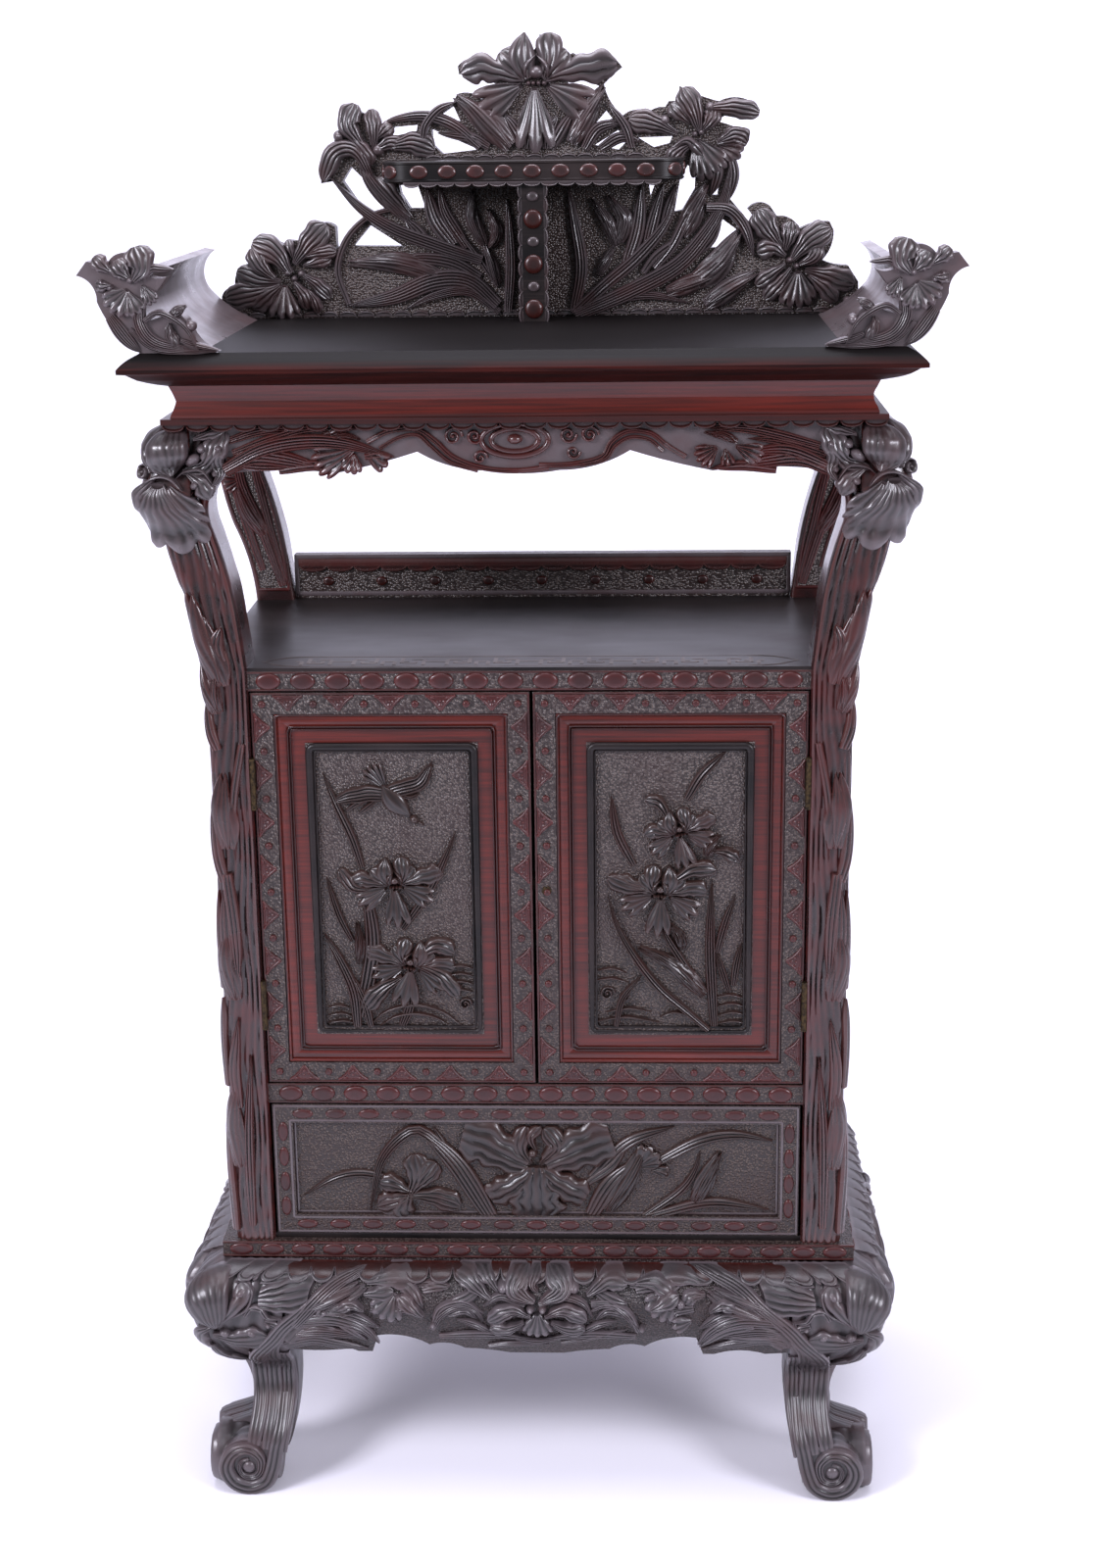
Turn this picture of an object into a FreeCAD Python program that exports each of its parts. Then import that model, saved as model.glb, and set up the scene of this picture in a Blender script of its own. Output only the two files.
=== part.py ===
import FreeCAD, Part
import math
import os

# Carved display cabinet on a cabriole stand, all lengths in millimetres.
# Origin: on the floor, at the middle of the cabinet's width and depth. +Z is up and the front faces -Y.

# Heights, from the floor upwards
stand_height = 362.0
stand_top_thickness = 22.0
bottom_board_thickness = 7.0
drawer_opening_height = 186.0
middle_rail_height = 27.0
door_opening_height = 522.0
deck_rail_height = 29.0
display_height = 301.0
frieze_height = 45.0
cornice_height = 41.0
crest_height = 358.0

# Case
case_half_width = 397.0
case_depth = 455.0
post_width = 52.6
front_post_depth = 72.0
front_post_proud = 8.0
back_post_depth = 50.0
rail_depth = 22.0
side_panel_thickness = 18.0
side_panel_inset = 7.0
back_panel_thickness = 10.0
back_panel_inset = 5.0
deck_thickness = 18.0
deck_lip_thickness = 4.5
divider_thickness = 12.0
gallery_height = 60.5
gallery_thickness = 20.0
shelf_thickness = 15.0
shelf_height = 250.0
shelf_setback = 42.0
batten_size = 20.0
batten_margin = 5.0
loose_fit = 0.5

# Upper part
post_sweep = 48.0
post_inner_sweep = 37.0
flower_head_start = 7.0
flower_head_reach = 66.0
flower_head_height = 138.0
flower_head_proud = 21.0
flower_head_depth = 62.0
upper_apron_thickness = 24.0
upper_apron_proud = 14.0
upper_apron_drop = 62.0
frieze_overhang = 20.0
frieze_thickness = 18.0
frieze_waist = 7.0
scallop_lip_height = 7.0
scallop_lip_reach = 10.0
cornice_overhang = 50.0
cornice_board_thickness = 18.0
cornice_seat_width = 40.0
housing_depth = 2.0
side_frieze_drop = 26.0

# Upturned flanges on the cornice
flange_height = 92.0
flange_foot_width = 71.0
flange_bulge = 14.0
flange_length = 420.0
flange_end_thickness = 30.0
flange_end_reach = 68.0
flange_end_inset = 91.0
flange_end_height = 114.0

# Crest
crest_half_width = 428.0
crest_thickness = 26.0
crest_setback = 392.0
crest_pixel_floor = 327.0
crest_pixel_height = 291.5
crest_pixel_middle = 546.5
crest_pixel_half_width = 327.5
crest_taper_share = 0.032
crest_shelf_half_length = 195.0
crest_shelf_thickness = 27.0
crest_shelf_depth = 92.0
crest_shelf_rise = 176.0
crest_shelf_corner = 34.0
bracket_half_width = 14.0
bracket_web_half_width = 7.0
bracket_face_depth = 14.0
bracket_setback = 8.5

# Stand
stand_side_overhang = 16.0
stand_front_overhang = 12.0
knee_reach = 44.0
leg_block = 85.0
foot_reach = 22.0
scroll_radius = 41.0
scroll_inset = 23.0
scroll_flat = 1.5
scroll_length = 82.0
apron_thickness = 26.0
apron_depth = 134.0
back_apron_thickness = 22.0
back_apron_depth = 90.0

# Doors
door_clearance = 2.3
hinge_gap = 1.8
meeting_offset = 3.5
meeting_gap = 4.0
door_border = 27.0
door_moulding_width = 38.0
moulding_reeds_width = 20.0
moulding_setback = 1.5
moulding_field_setback = 6.0
moulding_back_setback = 4.0
door_panel_thickness = 10.0
door_panel_lip = 9.0
door_panel_lip_rise = 3.5
door_panel_setback = 8.0
door_panel_corner = 8.0

# Butt hinges
hinge_length = 66.0
hinge_upper_height = 404.0
hinge_lower_height = 110.0
hinge_leaf_width = 18.0
hinge_leaf_thickness = 1.5
knuckle_radius = 4.0
hinge_pin_radius = 2.0
hinge_pin_fit = 0.05
knuckle_gap = 0.2
knuckle_clearance = 0.4
pin_forward = 4.4

# Lock on the back of the right door
lock_width = 40.0
lock_height = 56.0
lock_thickness = 10.0
lock_wall = 2.0
lock_rise = 263.0
bolt_height = 14.0
bolt_length = 26.0
bolt_fit = 0.2
keyhole_from_edge = 14.0
keyhole_radius = 2.2
keyhole_slot_width = 2.6
keyhole_slot_length = 6.0
keyhole_plate_radius = 6.0
keyhole_plate_thickness = 1.2

# Drawer
drawer_side_gap = 3.4
drawer_top_gap = 2.5
drawer_bottom_gap = 0.3
drawer_front_thickness = 22.0
drawer_frame_width = 26.0
drawer_field_setback = 7.0
drawer_side_thickness = 12.0
drawer_side_height = 150.0
drawer_bottom_thickness = 6.0
drawer_bottom_rise = 8.0
drawer_back_gap = 15.0
guide_height = 30.0
guide_gap = 1.0

cut_overrun = 5.0
joining_limit = 0.001
straight_limit = 0.01

# Levels and planes worked out from the sizes above
stand_top_under = stand_height - stand_top_thickness
case_floor = stand_height + bottom_board_thickness
drawer_top = case_floor + drawer_opening_height
door_floor = drawer_top + middle_rail_height
door_top = door_floor + door_opening_height
deck_level = door_top + deck_rail_height
frieze_under = deck_level + display_height
cornice_under = frieze_under + frieze_height
cornice_top = cornice_under + cornice_height

cornice_front_overhang = frieze_overhang + cornice_overhang
case_front = (cornice_front_overhang - case_depth) / 2
case_back = case_front + case_depth
inner_half_width = case_half_width - post_width
panel_inner = case_half_width - side_panel_inset - side_panel_thickness
post_front = case_front - front_post_proud
post_rear = post_front + front_post_depth
back_post_front = case_back - back_post_depth
back_panel_front = case_back - back_panel_inset - back_panel_thickness
rail_rear = case_front + rail_depth
stand_front = case_front - stand_front_overhang
stand_half_width = case_half_width + stand_side_overhang
frieze_half_width = case_half_width + frieze_overhang
scroll_height = scroll_radius - scroll_flat
meeting_left = meeting_offset - meeting_gap / 2
meeting_right = meeting_offset + meeting_gap / 2
door_edge = inner_half_width - hinge_gap
door_low = door_floor + door_clearance
door_high = door_top - door_clearance
pin_x = inner_half_width - hinge_gap / 2
pin_y = case_front - pin_forward
keyhole_x = meeting_right + keyhole_from_edge
keyhole_z = door_floor + lock_rise

# Outlines, as shares of the sizes named beside them
# Leg: reach past the stand's top board as a share of knee_reach, height as a share of stand_top_under
leg_outer_shares = [(0.0, 1.0), (0.7, 0.955), (0.98, 0.88), (1.0, 0.82), (0.84, 0.725),
                    (0.5, 0.63), (-0.3, 0.535), (-0.62, 0.45), (-0.68, 0.37), (-0.62, 0.27)]
# The first of these points are the aprons' faces too
apron_points = 6
# Leg, inner side: distance in from the stand's edge as a share of leg_block, same heights
leg_inner_shares = [(1.0, 0.64), (1.005, 0.44), (0.98, 0.31), (0.9, 0.18), (0.72, 0.075), (0.47, 0.012)]
# Stand apron, lower edge, from the leg to the middle: share of the half length, share of apron_depth
apron_wave_shares = [(1.0, 0.91), (0.91, 0.93), (0.75, 0.90), (0.67, 1.0)]
apron_arch_shares = [(0.635, 0.70), (0.5, 0.725), (0.43, 0.83), (0.37, 0.80), (0.29, 0.875),
                     (0.185, 0.90), (0.09, 0.95), (0.0, 0.985)]
# Post above the deck: sideways share of its sweep, height share of display_height
post_outer_shares = [(0.0, 0.0), (0.13, 0.15), (0.58, 0.36), (0.88, 0.55), (1.0, 0.69), (0.92, 0.83),
                     (0.65, 1.0)]
post_inner_shares = [(0.0, 0.0), (0.16, 0.17), (0.58, 0.45), (0.84, 0.555), (1.0, 0.64), (0.95, 0.70),
                     (0.65, 0.76), (0.27, 0.80)]
# Iris head at a post's top seen from the front: share of its reach outwards, share of its height downwards. The
# runs are its domed standard, a small curl, the fanned fall and the fall's tip.
flower_head_shares = [
    [(0.0, 0.05), (0.5, 0.0), (0.79, 0.22), (0.81, 0.3), (0.73, 0.37)],
    [(0.73, 0.37), (0.93, 0.385), (0.93, 0.47)],
    [(0.93, 0.47), (1.0, 0.64), (0.79, 0.84)],
    [(0.79, 0.84), (0.7, 1.0)],
    [(0.48, 0.98), (0.33, 0.82), (0.0, 0.72)],
]
# The same head from the side: share of its depth backwards, share of its height downwards
flower_head_side_shares = [
    [(0.4, 0.0), (0.06, 0.18), (0.2, 0.38)],
    [(0.2, 0.38), (0.0, 0.62), (0.3, 0.9)],
    [(0.3, 0.9), (0.45, 1.0)],
    [(1.0, 1.0), (1.0, 0.0)],
]
# Upper apron, lower edge, from the post to the middle: share of the half length, share of upper_apron_drop
upper_apron_shares = [(1.0, 0.97), (0.78, 0.90), (0.63, 0.97), (0.45, 0.73), (0.355, 0.57), (0.27, 0.80),
                      (0.12, 0.94), (0.0, 1.0)]
# Reeds of the doors' moulding, from its outer edge: where each starts and ends as shares of moulding_reeds_width
moulding_reed_shares = [(0.0, 0.2), (0.2, 0.8)]
# Frieze face: share of frieze_waist inwards, share of frieze_height
frieze_shares = [(0.0, 1.0), (0.55, 0.80), (1.0, 0.58), (0.6, 0.38), (0.12, 0.22), (0.0, 0.155)]
# Cornice edge: share of cornice_overhang outwards, share of cornice_height
cornice_hollow_shares = [(0.0, 0.0), (0.35, 0.12), (0.6, 0.24), (0.82, 0.42)]
cornice_nose_shares = [(1.0, 0.46), (1.0, 0.58)]
cornice_round_shares = [(1.0, 0.58), (0.93, 0.68), (0.74, 0.86), (0.52, 1.0)]
# Flange cut across: hollow inner face as a share of flange_foot_width inwards from the foot's outer edge, swollen
# outer face as a share of flange_bulge outwards, both with their share of flange_height
flange_hollow_shares = [(1.0, 0.0), (0.56, 0.17), (0.18, 0.42), (0.04, 0.7), (0.27, 1.0)]
flange_swell_shares = [(-0.4, 1.03), (1.0, 0.7), (0.7, 0.35), (0.0, 0.0)]
# Flange end carving: share of the way out from its foot to its tip, share of flange_end_height
flange_end_shares = [
    [(0.0, 0.0), (0.12, 0.09), (0.2, 0.27), (0.25, 0.38), (0.4, 0.36), (0.55, 0.3)],
    [(0.55, 0.3), (0.53, 0.5), (0.43, 0.6), (0.34, 0.76)],
    [(0.34, 0.76), (0.5, 0.8), (0.54, 0.93), (0.63, 1.0), (0.77, 0.88)],
    [(0.77, 0.88), (0.92, 0.92)],
    [(0.92, 0.92), (1.0, 0.78)],
    [(1.0, 0.78), (0.9, 0.7), (0.86, 0.52)],
    [(0.86, 0.52), (0.78, 0.3), (0.56, 0.0)],
]
# Crest silhouette as read off the photograph in pixels, run by run from the foot on the left to the foot on
# the right. Each run is one smooth curve and the runs meet in the carving's sharp corners.
crest_silhouette_pixels = [
    [(223, 327), (223, 303)],
    [(223, 303), (227, 296), (237, 292), (238, 280), (245, 270), (255, 267)],
    [(255, 267), (255, 250), (259, 243), (270, 243), (292, 252)],
    [(292, 252), (293, 244)],
    [(293, 244), (311, 241), (320, 230), (332, 226), (341, 231)],
    [(341, 231), (342, 254)],
    [(342, 254), (357, 237), (371, 221)],
    [(371, 221), (357, 202), (339, 183)],
    [(339, 183), (327, 185)],
    [(327, 185), (329, 170), (343, 150)],
    [(343, 150), (341, 139)],
    [(341, 139), (350, 131)],
    [(350, 131), (359, 114), (362, 105)],
    [(362, 105), (371, 113), (382, 113), (389, 127)],
    [(389, 127), (398, 122), (420, 116), (440, 115)],
    [(440, 115), (452, 107), (464, 103)],
    [(464, 103), (468, 95)],
    [(468, 95), (481, 94), (493, 101)],
    [(493, 101), (498, 94), (509, 86)],
    [(509, 86), (492, 79), (470, 75)],
    [(470, 75), (469, 67)],
    [(469, 67), (482, 60), (494, 65)],
    [(494, 65), (503, 65), (513, 55)],
    [(513, 55), (526, 56)],
    [(526, 56), (534, 36)],
    [(534, 36), (540, 42), (545, 54)],
    [(545, 54), (550, 47), (553, 36)],
    [(553, 36), (561, 38)],
    [(561, 38), (567, 50), (569, 66)],
    [(569, 66), (578, 60), (587, 55)],
    [(587, 55), (605, 62), (629, 60), (637, 70)],
    [(637, 70), (625, 80), (618, 87)],
    [(618, 87), (622, 100), (637, 119)],
    [(637, 119), (646, 114), (661, 118)],
    [(661, 118), (670, 112), (680, 111)],
    [(680, 111), (684, 105)],
    [(684, 105), (693, 105)],
    [(693, 105), (695, 90)],
    [(695, 90), (709, 97), (735, 106), (752, 102), (766, 106), (774, 114)],
    [(774, 114), (767, 122), (757, 124), (740, 121)],
    [(740, 121), (732, 126)],
    [(732, 126), (745, 130), (757, 135)],
    [(757, 135), (757, 143), (751, 148)],
    [(751, 148), (751, 165), (747, 186), (742, 203)],
    [(742, 203), (754, 218), (775, 245)],
    [(775, 245), (771, 231), (762, 217)],
    [(762, 217), (768, 212), (785, 214), (792, 225)],
    [(792, 225), (805, 227), (815, 238)],
    [(815, 238), (827, 233), (845, 231), (849, 240)],
    [(849, 240), (847, 254), (837, 271)],
    [(837, 271), (850, 276), (863, 277)],
    [(863, 277), (873, 294)],
    [(873, 294), (873, 327)],
]
# Openings pierced through the crest, corner by corner
crest_piercing_pixels = [
    [(407, 188), (426, 187), (434, 212), (418, 212), (409, 197)],
    [(359, 251), (377, 229), (411, 252)],
    [(349, 183), (358, 168), (380, 190), (393, 211), (372, 217)],
    [(396, 144), (402, 128), (427, 126), (426, 132), (403, 137)],
    [(441, 130), (489, 152), (452, 156), (442, 146)],
    [(449, 117), (464, 107), (471, 123)],
    [(577, 81), (594, 80), (613, 89), (598, 101)],
    [(608, 128), (620, 114), (626, 122)],
    [(608, 149), (632, 134), (640, 146), (632, 154)],
    [(652, 142), (687, 141), (684, 148), (668, 152)],
    [(662, 185), (671, 183), (664, 202)],
    [(702, 171), (710, 175), (709, 195), (696, 217), (688, 219), (694, 186)],
    [(729, 182), (735, 181), (732, 202), (725, 202)],
    [(735, 226), (753, 240), (731, 257), (723, 257)],
]


def point(x, y, z):
    return FreeCAD.Vector(x, y, z)


def block(x0, x1, y0, y1, z0, z1):
    return Part.makeBox(x1 - x0, y1 - y0, z1 - z0, point(x0, y0, z0))


def cylinder(radius, length, base, along):
    return Part.makeCylinder(radius, length, base, along)


def line(start, end):
    return Part.makeLine(start, end)


def arc_chain(points):
    """Edges through the points: an arc through every three of them, and a straight edge for a last pair."""
    edges = []
    for start in range(0, len(points) - 1, 2):
        stretch = points[start:start + 3]
        if len(stretch) == 2 or is_straight(*stretch):
            edges.append(line(stretch[0], stretch[-1]))
        else:
            edges.append(Part.Arc(*stretch).toShape())
    return edges


def is_straight(start, middle, end):
    return (middle - start).cross(end - middle).Length < straight_limit


def outline_face(runs):
    """A face whose edge is made of curved runs, closed by straight edges where two runs don't meet."""
    edges = []
    for run, following in zip(runs, runs[1:] + runs[:1]):
        edges += arc_chain(run)
        if not run[-1].isEqual(following[0], joining_limit):
            edges.append(line(run[-1], following[0]))
    return Part.Face(Part.Wire(edges))


def prism(runs, travel):
    return outline_face(runs).extrude(travel)


def mirrored(shape):
    return shape.mirror(point(0, 0, 0), point(1, 0, 0))


def fused(shapes):
    whole = shapes[0]
    for shape in shapes[1:]:
        whole = whole.fuse(shape)
    return whole.removeSplitter()


def export(node, shape):
    shape.exportStep("parts/" + node + ".step")


def export_pair(node, left_shape):
    export(node + "_left", left_shape)
    export(node + "_right", mirrored(left_shape))


# Stand

def leg_runs(place):
    """The sawn outline of a leg; place turns reach past the stand's edge and height into a point."""
    outer = [place(knee_reach * reach, stand_top_under * height) for reach, height in leg_outer_shares]
    inner = [place(-leg_block * inset, stand_top_under * height) for inset, height in leg_inner_shares]
    scroll_centre = place(-scroll_inset, scroll_height)
    top_inner = place(-leg_block, stand_top_under)
    return [outer, [scroll_centre, inner[-1]], inner[::-1], [top_inner, outer[0]]]


def scroll_roll(centre, inward):
    """A foot's rolled scroll."""
    return cylinder(scroll_radius, scroll_length, centre, inward)


def above_floor(leg):
    """The leg with its rolls worn flat where they stand."""
    reach = stand_half_width * 2
    return leg.cut(block(-reach, reach, -reach, reach, -scroll_radius, 0))


def leg_left(front):
    """A leg sawn to its outline from two sides, with a rolled scroll for each side that is seen."""
    side = -stand_half_width
    scroll_x = side + scroll_inset
    sawn_front = prism(leg_runs(lambda reach, z: point(side - reach, 0, z)), point(0, 1, 0) * leg_block * 2)
    if not front:
        sawn_front.translate(point(0, case_back - leg_block, 0))
        rear = case_back - leg_block
        sawn_side = block(side - knee_reach, side + leg_block, rear, case_back, 0, stand_top_under)
        roll = cylinder(scroll_radius, leg_block, point(scroll_x, rear, scroll_height), point(0, 1, 0))
        return above_floor(fused([sawn_front.common(sawn_side), roll]))
    sawn_front.translate(point(0, stand_front - knee_reach, 0))
    sawn_side = prism(leg_runs(lambda reach, z: point(side - knee_reach, stand_front - reach, z)),
                      point(1, 0, 0) * leg_block * 2)
    front_roll = scroll_roll(point(scroll_x, stand_front - foot_reach, scroll_height), point(0, 1, 0))
    side_roll = scroll_roll(point(side - foot_reach, stand_front + scroll_inset, scroll_height),
                            point(1, 0, 0))
    return above_floor(fused([sawn_front.common(sawn_side), front_roll, side_roll]))


def apron_section(place):
    """An apron board cut across: its bowed face follows the knees and its back is flat."""
    face = [place(knee_reach * reach, stand_top_under * height)
            for reach, height in leg_outer_shares[:apron_points]]
    rear_low = place(-apron_thickness, stand_top_under * leg_outer_shares[apron_points - 1][1])
    rear_high = place(-apron_thickness, stand_top_under)
    return [face, [rear_low, rear_high]]


def wave_edge(place, half_length, depth, shares):
    return [place(half_length * along, stand_top_under - depth * drop) for along, drop in shares]


def apron_front():
    half_length = stand_half_width - leg_block
    start = -half_length
    bowed = prism(apron_section(lambda reach, z: point(start, stand_front - reach, z)),
                  point(1, 0, 0) * half_length * 2)
    plane = stand_front - knee_reach - cut_overrun
    runs = []
    for side in (-1, 1):
        place = lambda x, z, side=side: point(side * x, plane, z)
        wave = wave_edge(place, half_length, apron_depth, apron_wave_shares)
        arch = wave_edge(place, half_length, apron_depth, apron_arch_shares)
        runs.append((wave, arch))
    (left_wave, left_arch), (right_wave, right_arch) = runs
    top_right = point(half_length, plane, stand_top_under)
    top_left = point(-half_length, plane, stand_top_under)
    cutter = prism([left_wave, left_arch + right_arch[-2::-1], right_wave[::-1], [top_right, top_left]],
                   point(0, 1, 0) * leg_block * 2)
    return bowed.common(cutter)


def apron_side_left():
    start = stand_front + leg_block
    length = case_back - leg_block - start
    bowed = prism(apron_section(lambda reach, z: point(-stand_half_width - reach, start, z)),
                  point(0, 1, 0) * length)
    plane = -stand_half_width - knee_reach - cut_overrun
    middle = start + length / 2
    wave = [point(plane, middle - length / 2 * along, stand_top_under - apron_depth * drop)
            for along, drop in apron_wave_shares[:1] + apron_arch_shares[1::2]]
    other = [point(plane, 2 * middle - spot.y, spot.z) for spot in wave]
    top_back = point(plane, start + length, stand_top_under)
    top_front = point(plane, start, stand_top_under)
    cutter = prism([wave + other[-2::-1], [top_back, top_front]], point(1, 0, 0) * leg_block * 2)
    return bowed.common(cutter)


def apron_back():
    half_length = stand_half_width - leg_block
    low = stand_top_under - back_apron_depth
    return block(-half_length, half_length, case_back - back_apron_thickness, case_back, low, stand_top_under)


def make_stand():
    for name, front in (("leg_front", True), ("leg_back", False)):
        export_pair(name, leg_left(front))
    export("stand_apron_front", apron_front())
    export("stand_apron_back", apron_back())
    export_pair("stand_apron", apron_side_left())
    export("stand_top", block(-stand_half_width, stand_half_width, stand_front, case_back,
                              stand_top_under, stand_height))


# Case

def post_runs(y):
    """The left post seen from the front: straight below the deck, swept outwards above it."""
    outer = [point(-case_half_width - post_sweep * out, y, deck_level + display_height * up)
             for out, up in post_outer_shares]
    inner = [point(-inner_half_width - post_inner_sweep * out, y, deck_level + display_height * up)
             for out, up in post_inner_shares]
    foot_outer = point(-case_half_width, y, stand_height)
    foot_inner = point(-inner_half_width, y, stand_height)
    top_inner = point(inner[-1].x, y, frieze_under)
    return [[foot_outer, outer[0]], outer, [top_inner, inner[-1]], inner[::-1], [inner[0], foot_inner]]


def flower_head():
    """The swelling that the carved iris at a post's top is cut from: its outline sawn from two sides."""
    inner = -case_half_width - flower_head_start
    front = post_front - flower_head_proud
    seen = [[point(inner - flower_head_reach * out, front, frieze_under - flower_head_height * down)
             for out, down in run] for run in flower_head_shares]
    from_side = [[point(inner, front + flower_head_depth * back, frieze_under - flower_head_height * down)
                  for back, down in run] for run in flower_head_side_shares]
    across = prism(from_side, point(-flower_head_reach, 0, 0))
    return prism(seen, point(0, flower_head_depth, 0)).common(across)


def hinge_heights():
    return [door_floor + hinge_lower_height, door_floor + hinge_upper_height]


def hinge_recess(z):
    """Room in the left post for one hinge's leaf and knuckles."""
    leaf = block(-inner_half_width - hinge_leaf_thickness, -inner_half_width + cut_overrun,
                 pin_y, case_front + hinge_leaf_width, z - hinge_length / 2, z + hinge_length / 2)
    room = knuckle_radius + knuckle_clearance
    half_length = hinge_length / 2 + knuckle_clearance
    barrel = block(-pin_x - room, -inner_half_width + cut_overrun, post_front - cut_overrun, pin_y + room,
                   z - half_length, z + half_length)
    return leaf.fuse(barrel)


def post_front_left():
    post = prism(post_runs(post_front), point(0, 1, 0) * front_post_depth)
    for z in hinge_heights():
        post = post.cut(hinge_recess(z))
    return fused([post, flower_head()])


def post_back_left():
    return prism(post_runs(back_post_front), point(0, 1, 0) * back_post_depth)


def fitted_board(front, rear, z0, z1, side_gap):
    """A board between the posts that widens to the side panels where the posts leave room."""
    narrow = inner_half_width - side_gap
    wide = panel_inner - side_gap
    core = block(-narrow, narrow, front, rear, z0, z1)
    wings = block(-wide, wide, max(front, post_rear + side_gap), back_post_front - side_gap, z0, z1)
    return fused([core, wings])


def deck_board():
    low = deck_level - deck_thickness
    board = block(-inner_half_width, inner_half_width, rail_rear, back_panel_front - gallery_thickness,
                  low, deck_level)
    lip = block(-inner_half_width, inner_half_width, case_front, rail_rear,
                deck_level - deck_lip_thickness, deck_level)
    return fused([board, lip])


def make_case():
    export_pair("post_front", post_front_left())
    export_pair("post_back", post_back_left())
    export_pair("side_panel", block(-panel_inner - side_panel_thickness, -panel_inner,
                                    post_rear, back_post_front, stand_height, door_top))
    export_pair("side_rail", block(-case_half_width, -inner_half_width, post_rear, back_post_front,
                                   door_top, deck_level))
    export("bottom_board", fitted_board(case_front, back_panel_front, stand_height, case_floor, 0))
    export("middle_rail", block(-inner_half_width, inner_half_width, case_front, rail_rear,
                                drawer_top, door_floor))
    export("drawer_divider", fitted_board(rail_rear, back_panel_front, door_floor - divider_thickness,
                                          door_floor, 0))
    export("deck_rail", block(-inner_half_width, inner_half_width, case_front, rail_rear,
                              door_top, deck_level - deck_lip_thickness))
    export("deck_board", deck_board())
    export("deck_gallery", block(-inner_half_width, inner_half_width, back_panel_front - gallery_thickness,
                                 back_panel_front, deck_level - deck_thickness, deck_level + gallery_height))
    export("back_panel", block(-inner_half_width, inner_half_width, back_panel_front,
                               back_panel_front + back_panel_thickness, stand_height, deck_level))
    shelf_low = door_floor + shelf_height
    export("inner_shelf", fitted_board(case_front + shelf_setback, back_panel_front - loose_fit,
                                       shelf_low, shelf_low + shelf_thickness, loose_fit))
    batten = block(-panel_inner, -panel_inner + batten_size, post_rear + batten_margin,
                   back_post_front - batten_margin, shelf_low - batten_size, shelf_low)
    export("shelf_battens", Part.makeCompound([batten, mirrored(batten)]))
    guide = block(-panel_inner, -inner_half_width + drawer_side_gap - guide_gap, post_rear, back_post_front,
                  case_floor, case_floor + guide_height)
    export("drawer_guides", Part.makeCompound([guide, mirrored(guide)]))


# Upper part

def upper_apron_half_length():
    return inner_half_width + post_inner_sweep * post_inner_shares[-1][0]


def upper_apron():
    half_length = upper_apron_half_length()
    plane = case_front - upper_apron_proud
    left = [point(-half_length * along, plane, frieze_under - upper_apron_drop * drop)
            for along, drop in upper_apron_shares]
    right = [point(-spot.x, plane, spot.z) for spot in left]
    top_right = point(half_length, plane, frieze_under)
    top_left = point(-half_length, plane, frieze_under)
    return prism([left + right[-2::-1], [top_right, top_left]], point(0, 1, 0) * upper_apron_thickness)


def frieze_face(place):
    """The hollowed face of the frieze with the lip that carries its scallops."""
    hollow = [place(-frieze_waist * inwards, frieze_under + frieze_height * up)
              for inwards, up in frieze_shares]
    lip_top = place(scallop_lip_reach, frieze_under + scallop_lip_height)
    lip_foot = place(scallop_lip_reach, frieze_under)
    return hollow, lip_top, lip_foot


def frieze_block():
    """The whole outside of the frieze, from which its four boards are cut."""
    front = case_front - frieze_overhang
    hollow, lip_top, lip_foot = frieze_face(lambda out, z: point(-frieze_half_width - out, 0, z))
    left = hollow + []
    profile = [left, [lip_top, lip_foot],
               [point(-lip_foot.x, 0, lip_foot.z), point(-lip_top.x, 0, lip_top.z)],
               [point(-spot.x, 0, spot.z) for spot in left[::-1]]]
    along_y = prism(profile, point(0, 1, 0) * (case_back - front + scallop_lip_reach))
    along_y.translate(point(0, front - scallop_lip_reach, 0))
    side = -frieze_half_width - scallop_lip_reach
    hollow, lip_top, lip_foot = frieze_face(lambda out, z: point(side, front - out, z))
    rear_foot = point(side, case_back, frieze_under)
    rear_top = point(side, case_back, cornice_under)
    along_x = prism([hollow, [lip_top, lip_foot], [rear_foot, rear_top]], point(-side * 2, 0, 0))
    return along_y.common(along_x)


def make_frieze():
    whole = frieze_block()
    front = case_front - frieze_overhang
    wide = frieze_half_width + scallop_lip_reach + cut_overrun
    inner = frieze_half_width - frieze_thickness
    front_rear = front + frieze_thickness
    back_front = case_back - frieze_thickness
    low = frieze_under - cut_overrun
    high = cornice_under + cut_overrun
    front_board = block(-wide, wide, front - scallop_lip_reach - cut_overrun, front_rear, low, high)
    export("frieze_front", whole.common(front_board))
    export("frieze_back", whole.common(block(-wide, wide, back_front, case_back + cut_overrun, low, high)))
    side_board = whole.common(block(-wide, -inner, front_rear, back_front, low, high))
    apron_low = frieze_under - side_frieze_drop
    side_apron = block(-frieze_half_width, -inner, post_rear, back_post_front, apron_low, frieze_under)
    export_pair("frieze", fused([side_board, side_apron]))


def cornice_runs(place):
    """Half of the cornice board's moulded edge, from its seat on the frieze to its top."""
    def spots(shares):
        return [place(cornice_overhang * out, cornice_under + cornice_height * up) for out, up in shares]
    return spots(cornice_hollow_shares), spots(cornice_nose_shares), spots(cornice_round_shares)


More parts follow.
